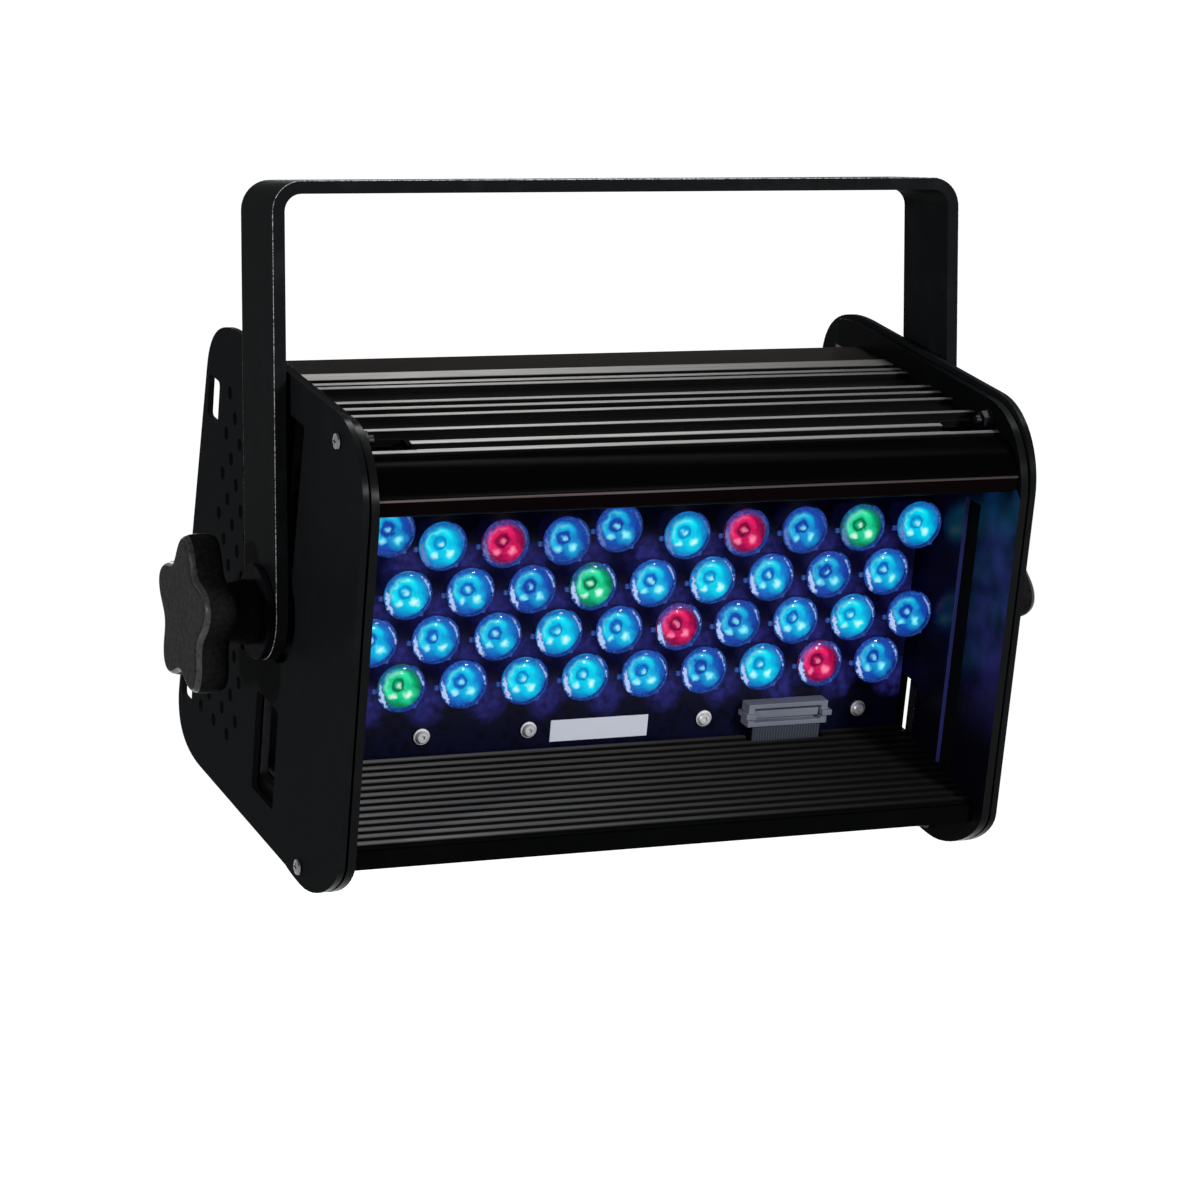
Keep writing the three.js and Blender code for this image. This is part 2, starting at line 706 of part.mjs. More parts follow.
function bottomCover() {
  const front = lowerLipFront - hoodSheet - runClearance;
  const frontHeight = lowerBaffleRear - lowerBaffleDrop - lowerLipHeight + coverSheet;
  const rearHeight = frontHeight - bottomCoverDrop;
  const rear = coverRear + coverSheet + runClearance;
  const shape = polygon([
    [rear, rearHeight - coverSheet], [front, frontHeight - coverSheet], [front, frontHeight],
    [rear, rearHeight],
  ]);
  let solid = alongX(shape, -spanInside, spanInside);
  for (let column = 0; column < ventSlotColumns; column += 1) {
    const x = (column - (ventSlotColumns - 1) / 2) * ventSlotColumnPitch;
    for (let row = 0; row < ventSlotRows; row += 1) {
      const place = -row * ventSlotPitch;
      solid = solid.subtract(block(
        [x - ventSlotLength / 2, x + ventSlotLength / 2], [place, place + ventSlotWidth],
        [rearHeight - bottomCoverDrop, frontHeight + cutOverrun],
      ));
    }
  }
  return meshOf('bottom_cover', solid, 'darkSheet');
}

const socketPlaces = sockets.map(({ place }) => [place, socketLine]);
const buttonPlaces = Array.from({ length: buttonCount }, (_, index) => (
  [buttonStart + index * buttonPitch, controlCentre[1]]
));

// The rear cover: one bent sheet over the back, cut for the sockets, the display and the buttons
function rearCover() {
  const start = deckRear - runClearance;
  const bottom = lowerBaffleRear - lowerBaffleDrop - lowerLipHeight - bottomCoverDrop;
  const shape = polygon([
    [start, coverTop], [coverKnee, coverTop], [coverRear, coverShoulder], [coverRear, bottom],
    [coverRear + coverSheet, bottom], [coverRear + coverSheet, coverShoulder - coverSheet * coverMitreShare],
    [coverKnee + coverSheet * (1 - coverMitreShare), coverTop - coverSheet], [start, coverTop - coverSheet],
  ]);
  let solid = alongX(shape, -spanInside, spanInside);
  const through = [coverRear - cutOverrun, coverRear + coverSheet + cutOverrun];
  for (const place of socketPlaces) {
    solid = solid.subtract(roundForward(socketBarrelRadius + runClearance, through, place));
  }
  for (const place of buttonPlaces) {
    solid = solid.subtract(roundForward(buttonRadius + runClearance, through, place, finSteps));
  }
  const halfWidth = displaySize[0] / 2 - displayWindowInset;
  const halfHeight = displaySize[2] / 2 - displayWindowInset;
  const middle = controlCentre[0] + displayOffset;
  solid = solid.subtract(block(
    [middle - halfWidth, middle + halfWidth], through,
    [controlCentre[1] - halfHeight, controlCentre[1] + halfHeight],
  ));
  return meshOf('rear_cover', solid, 'brownSheet');
}

// The tray: a web behind the heat sink with a flange above and below, and posts for the driver board
function chassisTray() {
  const rear = -trayWeb;
  const points = [
    [rear, trayBottom], [trayFront, trayBottom], [trayFront, trayBottom + traySheet],
    [rear + traySheet, trayBottom + traySheet], [rear + traySheet, trayTop - traySheet],
    [trayFront, trayTop - traySheet], [trayFront, trayTop], [rear, trayTop],
  ];
  let solid = alongX(polygon(points), -spanInside, spanInside);
  for (const x of [driverEnds[0] + standoffInset, driverEnds[1] - standoffInset]) {
    for (const upward of [-1, 1]) {
      const up = upward * (driverHeight / 2 - standoffInset);
      const reach = [rear - standoffLength, rear + traySheet / 2];
      solid = solid.add(roundForward(standoffRadius, reach, [x, up], holeSteps));
    }
  }
  return meshOf('chassis_tray', solid, 'paleAluminium');
}

function heatSink() {
  const face = boardFace - boardThickness - runClearance;
  const back = face - sinkBase;
  const rear = back - sinkFinDepth;
  const pitch = (sinkTop - sinkBottom - sinkFinThickness) / (sinkFins - 1);
  const points = [[face, sinkBottom], [face, sinkTop]];
  for (let fin = sinkFins - 1; fin >= 0; fin -= 1) {
    const low = sinkBottom + fin * pitch;
    points.push([rear, low + sinkFinThickness], [rear, low]);
    if (fin > 0) {
      points.push([back, low], [back, low - pitch + sinkFinThickness]);
    }
  }
  const end = spanInside - sinkEndGap;
  return meshOf('heat_sink', alongX(polygon(points), -end, end), 'paleAluminium');
}

// One moulded optic: a cone of clear plastic from the board out to a domed rim
function optic(x, up) {
  const profile = [
    [0, -boardThickness / 2], [opticNeckRadius, -boardThickness / 2],
    [opticNeckRadius, opticHeight * opticFootShare],
    [opticRadius, opticHeight - opticDome],
    [opticRadius * opticCrownShare, opticHeight], [0, opticHeight],
  ].map(([radius, distance]) => new THREE.Vector2(radius, distance));
  const geometry = new THREE.LatheGeometry(profile, opticSteps);
  geometry.rotateX(Math.PI);
  geometry.translate(x, -boardFace, up);
  return solidOf(geometry);
}

const boardScrewSpots = boardScrewShares.map((share) => [share * panelSpan, boardScrewLine]);

function ledBoard() {
  const back = boardFace - boardThickness;
  const span = spanInside - runClearance;
  let solid = block([-span, span], [back, boardFace], [boardBottom, boardTop]);
  for (const spot of boardScrewSpots) {
    const through = [back - cutOverrun, boardFace + cutOverrun];
    solid = solid.subtract(roundForward(boardScrewRadius + runClearance, through, spot, holeSteps));
  }
  const optics = [];
  opticRows.forEach((up, row) => {
    const shift = row % 2 === 0 ? opticPitch / 4 : -opticPitch / 4;
    for (let column = 0; column < opticsPerRow; column += 1) {
      optics.push(optic((column - (opticsPerRow - 1) / 2) * opticPitch + shift, up));
    }
  });
  return meshOf('led_board', wasm.Manifold.union([solid, ...optics]), 'boardMask');
}

// A board screw with its washer; it ends in the clearance hole, short of the heat sink
function boardScrew([x, up]) {
  const tail = -boardThickness - runClearance;
  const headTop = boardWasherThickness + boardScrewHeadHeight;
  const profile = [
    [0, tail], [boardScrewRadius, tail], [boardScrewRadius, 0], [boardWasherRadius, 0],
    [boardWasherRadius, boardWasherThickness], [boardScrewHeadRadius, boardWasherThickness],
    [boardScrewHeadRadius, headTop], [0, headTop],
  ].map(([radius, distance]) => new THREE.Vector2(radius, distance));
  const geometry = new THREE.LatheGeometry(profile, finSteps);
  geometry.rotateX(Math.PI);
  geometry.translate(x, -boardFace - runClearance, up);
  return solidOf(geometry);
}

function ribbonConnector() {
  const rear = boardFace + runClearance;
  const front = rear + connectorDepth;
  const half = connectorWidth / 2;
  const heights = [connectorTop - connectorHeight, connectorTop];
  let solid = block([connectorCentre - half, connectorCentre + half], [rear, front], heights);
  const pocket = half - connectorLatchWidth;
  const wall = connectorHeight * connectorWallShare;
  solid = solid.subtract(block(
    [connectorCentre - pocket, connectorCentre + pocket], [rear + connectorDepth / 2, front + cutOverrun],
    [heights[0] + wall, heights[1] - wall],
  ));
  for (const side of [-1, 1]) {
    const inner = connectorCentre + side * (half - connectorLatchWidth);
    const outer = connectorCentre + side * (half + connectorLatchWidth / 2);
    solid = solid.add(block(
      [Math.min(inner, outer), Math.max(inner, outer)], [rear, front + connectorLatchWidth / 2],
      [heights[0] + 2 * wall, heights[1] - 2 * wall],
    ));
  }
  return meshOf('ribbon_connector', solid, 'paleNylon');
}

// The ribbon leaves the connector's lower edge, drops past the board's edge and runs back under the heat sink
function ribbonCable() {
  const front = boardFace + connectorDepth;
  const top = connectorTop - connectorHeight - runClearance;
  const bottom = top - ribbonDrop;
  const rear = front - ribbonRun;
  const shape = polygon([
    [front, top], [front - ribbonThickness, top], [front - ribbonThickness, bottom + ribbonThickness],
    [rear, bottom + ribbonThickness], [rear, bottom], [front, bottom],
  ]);
  const half = ribbonWidth / 2;
  return meshOf('ribbon_cable', alongX(shape, connectorCentre - half, connectorCentre + half), 'ribbonGrey');
}

function powerSupply() {
  const [, depth, height] = supplySize;
  const front = -trayWeb - runClearance;
  const low = supplyMiddle - height / 2;
  const high = supplyMiddle + height / 2;
  const shape = polygon([
    [front - depth, low], [front, low], [front, high], [front - depth + supplyEdge, high],
    [front - depth, high - supplyEdge],
  ]);
  return meshOf('power_supply', alongX(shape, ...supplyEnds), 'paleAluminium');
}

function driverBoard() {
  const front = -trayWeb - standoffLength - runClearance;
  const rear = front - driverThickness;
  const width = driverEnds[1] - driverEnds[0];
  const centre = (driverEnds[0] + driverEnds[1]) / 2;
  let solid = block(driverEnds, [rear, front], [-driverHeight / 2, driverHeight / 2]);
  for (let index = 0; index < chokes; index += 1) {
    const x = centre + (index - (chokes - 1) / 2) * chokePitchShare * width;
    const reach = [rear - chokeHeight, rear + driverThickness / 2];
    solid = solid.add(roundForward(chokeRadius, reach, [x, 0], finSteps));
  }
  return meshOf('driver_board', solid, 'greenBoard');
}

function controlBoard() {
  const [width, thickness, height] = controlSize;
  const rear = -controlDepth - thickness;
  let solid = block(
    [controlCentre[0] - width / 2, controlCentre[0] + width / 2], [rear, -controlDepth],
    [controlCentre[1] - height / 2, controlCentre[1] + height / 2],
  );
  const postEnd = coverRear + coverSheet + runClearance;
  for (const across of [-1, 1]) {
    for (const upward of [-1, 1]) {
      const x = controlCentre[0] + across * (width / 2 - standoffInset);
      const up = controlCentre[1] + upward * (height / 2 - standoffInset);
      solid = solid.add(roundForward(standoffRadius, [postEnd, rear + thickness / 2], [x, up], holeSteps));
    }
  }
  return meshOf('control_board', solid, 'greenBoard');
}

function displayModule() {
  const [width, depth, height] = displaySize;
  const front = -controlDepth - controlSize[1] - runClearance;
  const middle = controlCentre[0] + displayOffset;
  return meshOf('display', block(
    [middle - width / 2, middle + width / 2], [front - depth, front],
    [controlCentre[1] - height / 2, controlCentre[1] + height / 2],
  ), 'displayGlass');
}

// A push button: a cap through the cover, a flange behind it and a stem towards the control board
function pushButton(spot) {
  const inside = coverRear + coverSheet + runClearance;
  const stemEnd = -controlDepth - controlSize[1] - runClearance - buttonTravel;
  const capReach = [coverRear - buttonReach, inside + buttonFlangeThickness];
  const cap = roundForward(buttonRadius, capReach, spot, finSteps);
  const flange = roundForward(buttonFlangeRadius, [inside, inside + buttonFlangeThickness], spot, finSteps);
  const stem = roundForward(buttonStemRadius, [inside, stemEnd], spot, holeSteps);
  return cap.add(flange).add(stem);
}

function socket({ name, place, pins }) {
  const centre = [place, socketLine];
  const near = coverRear - runClearance;
  const outer = near - socketFlangeThickness;
  const [width, height] = socketFlange;
  const heights = [socketLine - height / 2, socketLine + height / 2];
  let solid = block([place - width / 2, place + width / 2], [outer, near], heights);
  solid = solid.add(roundForward(socketBarrelRadius, [outer, outer + socketBarrelDepth], centre));
  const recess = [outer - cutOverrun, outer + socketRecessDepth];
  solid = solid.subtract(roundForward(socketRecessRadius, recess, centre));
  for (let pin = 0; pin < pins; pin += 1) {
    const angle = (2 * Math.PI * pin) / pins;
    const spot = [place + socketPinRing * Math.sin(angle), socketLine + socketPinRing * Math.cos(angle)];
    const foot = outer + socketRecessDepth;
    const reach = [foot - socketPinLength, foot + socketPinRadius];
    solid = solid.add(roundForward(socketPinRadius, reach, spot, pinSteps));
  }
  return meshOf(name, solid, 'blackPlastic');
}

const light = new THREE.Group();
light.add(yoke());

const head = new THREE.Group();
head.position.z = -pivotDrop;
head.rotation.x = THREE.MathUtils.degToRad(tiltDegrees);
light.add(head);

for (const [side, word] of [[-1, 'left'], [1, 'right']]) {
  light.add(meshOf(`clamp_washer_${word}`, clampWasher(side), 'zincSteel'));
  light.add(meshOf(`clamp_knob_${word}`, clampKnob(side), 'knobPlastic'));
  head.add(meshOf(`side_panel_${word}`, sidePanel(side), 'panelSheet'));
  head.add(meshOf(`end_plate_${word}`, endPlate(side), 'darkSheet'));
  head.add(meshOf(`pivot_spacer_${word}`, pivotSpacer(side), 'blackPlastic'));
  head.add(meshOf(`pivot_stud_${word}`, pivotStud(side), 'zincSteel'));
  for (const [place, level] of [[topScrew, 'top'], [bottomScrew, 'bottom']]) {
    head.add(meshOf(`panel_screw_${level}_${word}`, panelScrew(side, place), 'zincSteel'));
    head.add(meshOf(`panel_nut_${level}_${word}`, panelNut(side, place), 'zincSteel'));
  }
}

head.add(topDeck(), topHood(), upperBaffle(), lowerHood(), bottomCover(), rearCover());
head.add(chassisTray(), heatSink(), ledBoard());
boardScrewSpots.forEach((spot, index) => {
  head.add(meshOf(`board_screw_${index + 1}`, boardScrew(spot), 'zincSteel'));
});
head.add(ribbonConnector(), ribbonCable());
head.add(powerSupply(), driverBoard(), controlBoard(), displayModule());
buttonPlaces.forEach((spot, index) => {
  head.add(meshOf(`push_button_${index + 1}`, pushButton(spot), 'blackPlastic'));
});
for (const entry of sockets) {
  head.add(socket(entry));
}

export default light;
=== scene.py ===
import math

import bmesh
import bpy
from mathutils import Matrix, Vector

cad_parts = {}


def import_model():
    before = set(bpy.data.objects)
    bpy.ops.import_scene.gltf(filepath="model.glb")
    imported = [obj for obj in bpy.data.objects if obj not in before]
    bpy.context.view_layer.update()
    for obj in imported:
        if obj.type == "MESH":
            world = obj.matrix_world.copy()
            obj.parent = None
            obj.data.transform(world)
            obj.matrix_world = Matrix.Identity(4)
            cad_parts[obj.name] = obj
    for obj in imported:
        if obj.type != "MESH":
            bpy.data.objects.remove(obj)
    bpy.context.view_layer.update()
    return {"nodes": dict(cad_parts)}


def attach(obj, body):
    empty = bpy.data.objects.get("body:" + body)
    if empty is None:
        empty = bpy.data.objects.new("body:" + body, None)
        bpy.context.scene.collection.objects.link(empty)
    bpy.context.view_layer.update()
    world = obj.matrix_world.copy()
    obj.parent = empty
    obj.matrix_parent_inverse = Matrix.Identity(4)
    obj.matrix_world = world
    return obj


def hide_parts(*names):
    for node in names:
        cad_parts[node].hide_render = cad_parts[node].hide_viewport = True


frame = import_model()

MM = 0.001

# Sizes in millimetres, those of the solids save where a comment says otherwise. A place in the
# head is (forward, up): forward along its aim and up square to that, both from the pivot
SIDES = ((-1, "left"), (1, "right"))
CLEARANCE = 0.3
PIVOT_DROP = 170
PIVOT = Vector((0, 0, -PIVOT_DROP)) * MM
TILT, AHEAD = math.radians(12.1), Vector((0, -1, 0))
YOKE_WIDTH, BAR_WIDTH, BAR_THICKNESS, BEND = 302.3, 38.8, 5.1, 12
PIVOT_HOLE, HANGING_HOLE, SIDE_HOLE, SIDE_HOLE_OFFSET = 5.3, 6.75, 4.5, 38

# Side panels and end plates: their faces from the middle, and how far they reach from the pivot
PANEL_FACE, PANEL_THICKNESS = 144, 2.5
END_FACE, END_THICKNESS = 140.5, 3.3
WALL = END_FACE - END_THICKNESS
SPAN = WALL - CLEARANCE
FRONT, TOP, BOTTOM, REAR_TOP, REAR_BOTTOM = 87.5, 96.5, 98, 104.5, 118.3
FRONT_RADIUS = 34
END_REAR, END_TOP = -84, 94.5
PANEL_SCREWS = {"top": (56, 86.3), "bottom": (43.5, -92.4)}
SCREW_HOLE = 2.2

# Their openings. A window is its range forward and its range up, a handle slot its rear and top
VENT_RADIUS, VENT_TOP, VENT_REAR, VENT_LEAN, VENT_ROWS = 2.7, 69.2, -73.2, 0.9125, 17
VENT_PITCH, VENT_ROW_PITCH = 17.4, 8.81
HANDLE_SLOTS, HANDLE_WIDTH, HANDLE_HEIGHT = ((-100.8, 70), (-114.6, -58)), 14, 18
PIVOT_OPENING, PIVOT_SLOT_WIDTH, PIVOT_SLOT_TOP = 21, 31, 81
PANEL_WINDOW = ((-18.5, 8.2), (-82, -40))
WALL_WINDOW = ((-18.5, 5), (-76.5, -40))  # 3.2 less at its front, to show as in the photograph
SIGHT_SLOT = ((7.3, 21.2), (-65, -40))
GROOVE, GROOVE_DEPTH = ((44.5, 57), (-67, 50)), 1.8

# Deck, hoods and baffles
DECK_REAR, DECK_FRONT, DECK_TOP, DECK_FALL, DECK_SHEET, RIB_HEIGHT = -38, 66, 84, 2.6, 3, 2.4
DECK_RUN = DECK_FRONT - DECK_REAR
DECK_SLOPE = DECK_REAR + 0.8 * DECK_RUN
DECK_NOTCH, DECK_NOTCH_DEPTH = ((47.5, 63.5), (70, 95)), 22
HOOD_FRONT, HOOD_EDGE, HOOD_LIP, HOOD_SHEET = 84.5, 70.5, 64.9, 2.2
BAFFLE_SHEET = 1.8
UPPER_REAR, UPPER_FRONT = (9.2, 48.4), (82, 64.8)
LOWER_REAR, LOWER_FRONT = (9.2, -63.4), (78.2, -72.4)
LOWER_LIP, LOWER_LIP_SHEET = 7.6, 2.2
PLUG_NOTCH, PLUG_NOTCH_HALF = ((7.2, 17.1), (-72.4, -61.4)), 17.5

# Board, optics and ribbon plug
PITCH, ROWS, COLUMNS = 26.6, (32.9, 13.1, -6.2, -25.8), 10
BOARD_FACE, BOARD_THICKNESS, BOARD_TOP = 8.1, 1.6, 47
BOARD_BOTTOM = -63.3  # 0.8 lower
BOARD_SCREWS, BOARD_SCREW_UP, BOARD_SCREW_HOLE = (-82, -35, 44.5, 117), -54.4, 1.7
LABEL_ACROSS, LABEL_UP = (-25, 19), (-60.6, -51.2)
PLUG_X, PLUG_TOP, PLUG_HALF, POCKET_HALF, LATCH_END, STRIP_HALF = 80.5, -47.4, 18.5, 15.5, 20, 15


# Modelling: each step is one that a hand would make in the viewport

def clear():
    bpy.ops.object.select_all(action="DESELECT")


def take(piece):
    clear()
    piece.select_set(True)
    bpy.context.view_layer.objects.active = piece


def editing(piece, kind="VERT"):
    take(piece)
    bpy.ops.object.mode_set(mode="EDIT")
    bpy.ops.mesh.select_mode(type=kind)
    bpy.ops.mesh.select_all(action="DESELECT")
    return bmesh.from_edit_mesh(piece.data)


def select_whole():
    bpy.ops.mesh.select_all(action="SELECT")


def done():
    bpy.ops.object.mode_set(mode="OBJECT")


def spot(x, forward, up):
    """A place from its millimetres: x across, forward along the aim, up square to it."""
    return Vector((x, -forward, up)) * MM


def traced(places):
    """A line traced from place to place, starting from a plane merged to a point."""
    clear()
    bpy.ops.mesh.primitive_plane_add(size=MM, location=places[0])
    bpy.ops.object.transform_apply()
    editing(bpy.context.object)
    select_whole()
    bpy.ops.mesh.merge(type="CENTER")
    for here, there in zip(places, places[1:]):
        bpy.ops.mesh.extrude_region_move(TRANSFORM_OT_translate={"value": there - here})
    select_whole()
    return bpy.context.object


def faced_outwards(piece):
    select_whole()
    bpy.ops.mesh.normals_make_consistent(inside=False)
    done()
    return piece


def drawn(places, run):
    """A closed outline traced, filled and pulled along run to a solid."""
    piece = traced(places)
    bpy.ops.mesh.edge_face_add()
    bpy.ops.mesh.extrude_region_move(TRANSFORM_OT_translate={"value": run})
    return faced_outwards(piece)


def turned(profile, centre, axis, steps):
    """A lathe shape: (radius, distance) pairs spun about an axis through centre."""
    away = Vector((0, 0, 1)) if abs(axis.z) < 0.5 else Vector((1, 0, 0))
    piece = traced([centre + axis * distance * MM + away * radius * MM for radius, distance in profile])
    bpy.ops.mesh.spin(steps=steps, angle=2 * math.pi, center=centre, axis=axis)
    select_whole()
    bpy.ops.mesh.remove_doubles(threshold=1e-6)
    return faced_outwards(piece)


def slab(x, forward, up):
    """A block from its ranges across, forward and up."""
    clear()
    middle = spot(sum(x) / 2, sum(forward) / 2, sum(up) / 2)
    bpy.ops.mesh.primitive_cube_add(size=1, location=middle)
    piece = bpy.context.object
    piece.scale = Vector((x[1] - x[0], forward[1] - forward[0], up[1] - up[0])) * MM
    bpy.ops.object.transform_apply()
    return piece


def sided(side, inner, outer):
    """The range across between two distances from the middle, on one side."""
    return sorted((side * inner, side * outer))


def rod(radius, centre, axis, length, sides=24):
    """A round cutter or pin through centre, along one of the axes."""
    clear()
    turn = {"x": (0, math.pi / 2, 0), "y": (math.pi / 2, 0, 0), "z": (0, 0, 0)}[axis]
    bpy.ops.mesh.primitive_cylinder_add(
        vertices=sides, radius=radius * MM, depth=length * MM, location=centre, rotation=turn)
    bpy.ops.object.transform_apply()
    return bpy.context.object


def repeated(piece, first, places):
    """The piece's shape copied inside its own mesh to each further place."""
    editing(piece)
    select_whole()
    for here, there in zip([first, *places], places):
        bpy.ops.mesh.duplicate_move(TRANSFORM_OT_translate={"value": there - here})
    done()
    return piece


def joined(*pieces):
    clear()
    for piece in pieces:
        piece.select_set(True)
    bpy.context.view_layer.objects.active = pieces[0]
    bpy.ops.object.join()
    return pieces[0]


def modified(piece, kind, **settings):
    """A modifier with these settings, added and applied."""
    take(piece)
    bpy.ops.object.modifier_add(type=kind)
    modifier = piece.modifiers[-1]
    for key, value in settings.items():
        setattr(modifier, key, value)
    bpy.ops.object.modifier_apply(modifier=modifier.name)
    return piece


def cut(piece, tool, how="DIFFERENCE"):
    modified(piece, "BOOLEAN", operation=how, solver="EXACT", object=tool)
    bpy.data.objects.remove(tool)


def softened(piece, width, segments=2, angle=35):
    return modified(piece, "BEVEL", width=width * MM, segments=segments, limit_method="ANGLE",
                    angle_limit=math.radians(angle))


def rounded(piece, along, places, radius, segments):
    """Bevels the edges that run along one axis through the given places."""
    mesh = editing(piece, "EDGE")
    for edge in mesh.edges:
        start, end = (vertex.co for vertex in edge.verts)
        line = end - start
        if abs(line[along]) < 0.99 * line.length:
            continue
        for place in places:
            gap = (start + end) / 2 - place
            gap[along] = 0
            if gap.length < 0.2 * MM:
                edge.select_set(True)
    bmesh.update_edit_mesh(piece.data)
    bpy.ops.mesh.bevel(offset=radius * MM, segments=segments, affect="EDGES")
    done()
    return piece


def seated(piece, name, finish, slot, *nodes, body="head", smooth=32):
    """Sets a piece in its place on its body and gives it its finish."""
    piece.name = name
    if body == "head":
        piece.rotation_euler.x += TILT
        piece.location.z -= PIVOT_DROP * MM
    take(piece)
    bpy.ops.object.transform_apply()
    bpy.ops.object.shade_smooth_by_angle(angle=math.radians(smooth))
    modified(piece, "WEIGHTED_NORMAL", keep_sharp=True)
    if finish:
        piece.data.materials.clear()
        piece.data.materials.append(finish)
    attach(piece, body)
    if nodes:
        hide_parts(*nodes)


def faced(piece, finishes, pick):
    """Gives each face the finish that pick chooses from its normal and its middle in mm."""
    piece.data.materials.clear()
    for finish in finishes:
        piece.data.materials.append(finish)
    for face in piece.data.polygons:
        face.material_index = pick(face.normal, face.center / MM)


# Finishes

class Field:
    """A value that varies over a surface, on which sums are written as sums."""

    def __init__(self, finish, socket):
        self.finish = finish
        self.socket = socket

    def reckon(self, operation, *values, clamp=False):
        settings = {"operation": operation, "use_clamp": clamp}
        return self.finish.node("ShaderNodeMath", settings, dict(enumerate(values)))

    def __add__(self, other):
        return self.reckon("ADD", self, other)

    def __sub__(self, other):
        return self.reckon("SUBTRACT", self, other)

    def __mul__(self, other):
        return self.reckon("MULTIPLY", self, other)

    def __gt__(self, edge):
        return self.reckon("GREATER_THAN", self, edge)

    def between(self, low, high):
        """Nought at low, one at high, held to that range."""
        share = (self - low) * (1 / (high - low))
        return share.reckon("ADD", share, 0.0, clamp=True)

    def ramp(self, low, high):
        """The same for a length, with low and high in millimetres."""
        return self.between(low * MM, high * MM)

    def size(self):
        return self.reckon("ABSOLUTE", self)

    def root(self):
        return self.reckon("SQRT", self)

    def sine(self):
        return self.reckon("SINE", self)


class Finish:
    """One material of the light and the nodes behind its main sockets."""

    def __init__(self, name, **fixed):
        self.material = bpy.data.materials.new(name)
        self.material.use_nodes = True
        self.tree = self.material.node_tree
        self.shader = self.tree.nodes["Principled BSDF"]
        self.set(**fixed)
        self.place = self.node("ShaderNodeTexCoord", output=3)

    def put(self, socket, value):
        if isinstance(value, Field):
            self.tree.links.new(value.socket, socket)
        elif socket.type == "RGBA":
            socket.default_value = (*value, 1)
        else:
            socket.default_value = value

    def node(self, kind, settings=None, sockets=None, output=0):
        made = self.tree.nodes.new(kind)
        for key, value in (settings or {}).items():
            setattr(made, key, value)
        for key, value in (sockets or {}).items():
            self.put(made.inputs[key], value)
        return Field(self, made.outputs[output])

    def set(self, **values):
        for key, value in values.items():
            self.put(self.shader.inputs[key.replace("_", " ")], value)

    def stretched(self, x, y, z):
        return self.node("ShaderNodeMapping", None, {0: self.place, 3: (x, y, z)})

    def noise(self, size, detail=2, rough=0.5, where=None):
        """Noise whose blotches are about size millimetres across."""
        sockets = {"Vector": where or self.place, "Scale": 1 / (size * MM), "Detail": detail, "Roughness": rough}
        return self.node("ShaderNodeTexNoise", None, sockets)

    def draw_marks(self):
        """The long marks that drawing or polishing leaves along the row."""
        return self.noise(0.8, detail=3, where=self.stretched(0.01, 1, 1))

    def axes(self, where=None):
        where = where or self.place
        return [self.node("ShaderNodeSeparateXYZ", None, {0: where}, output=axis) for axis in range(3)]

    def height_in_head(self):
        """Metres above the pivot, square to the aim."""
        _, y, z = self.axes()
        return z * math.cos(TILT) - y * math.sin(TILT) + PIVOT_DROP * MM * math.cos(TILT)

    def forward_in_head(self):
        """Metres in front of the pivot, along the aim."""
        _, y, z = self.axes()
        return y * -math.cos(TILT) - z * math.sin(TILT) - PIVOT_DROP * MM * math.sin(TILT)

    def wrapped(self, value, start, pitch):
        """Metres from the nearest of the places that lie a pitch apart from start."""
        return self.node("ShaderNodeMath", {"operation": "WRAP"},
                         {0: value - start * MM, 1: pitch * MM / 2, 2: -pitch * MM / 2})

    def across_disc(self):
        """The piece's own plan, from -1 to 1 each way, its middle at nought."""
        x, y, _ = self.axes(self.node("ShaderNodeUVMap"))
        return x * 2 - 1, y * 2 - 1

    def cells(self, size):
        sockets = {"Vector": self.place, "Scale": 1 / (size * MM)}
        return self.node("ShaderNodeTexVoronoi", None, sockets)

    def mixed(self, share, first, second):
        sockets = {0: share, 6: first, 7: second}
        return self.node("ShaderNodeMix", {"data_type": "RGBA"}, sockets, output=2)

    def finished(self, colour, roughness, height, depth, strength):
        """The material, with the sockets set that most finishes vary; depth is in millimetres."""
        sockets = {"Strength": strength, "Distance": depth * MM, "Height": height}
        bumps = self.node("ShaderNodeBump", None, sockets)
        self.set(Base_Color=colour, Roughness=roughness, Normal=bumps)
        return self.material


def shade(value, warmth=0.0):
    return (value * (1 + warmth), value, value * (1 - warmth))


def powder_coat(name, dark, light, rough, depth, level=0.001):
    """Black powder coat: fine pebbled grain with faint wear between the grains."""
    coat = Finish(name, Specular_IOR_Level=level)
    grain = coat.noise(0.55, detail=3)
    wear = coat.noise(14, detail=4).between(0.52, 0.75)
    return coat.finished(
        coat.mixed(wear * 0.5 + grain * 0.5, shade(dark, -0.08), shade(light, -0.08)),
        grain * 0.18 + wear * 0.08 + rough, grain, depth, 0.5)


def drawn_metal(name, dark, light, rough, level, warmth=0.0):
    """Black anodised extrusion: long draw marks along the row, and faint handling smears."""
    skin = Finish(name, Specular_IOR_Level=level)
    marks = skin.draw_marks()
    smears = skin.noise(22, detail=3).between(0.45, 0.8)
    return skin.finished(
        skin.mixed(marks * 0.6 + smears * 0.4, shade(dark, warmth), shade(light, warmth)),
        marks * 0.12 + smears * 0.1 + rough, marks, 0.02, 0.35)


def moulding(name, colour, deep, rough, grain_size=0.7, depth=0.03, level=0.4):
    """Moulded plastic: a spark-eroded grain and slow changes of shade."""
    plastic = Finish(name, Specular_IOR_Level=level)
    grain = plastic.noise(grain_size)
    drift = plastic.noise(18)
    return plastic.finished(
        plastic.mixed(drift * 0.7 + grain * 0.3, deep, colour),
        grain * 0.12 + drift * 0.08 + rough, grain, depth, 0.4)


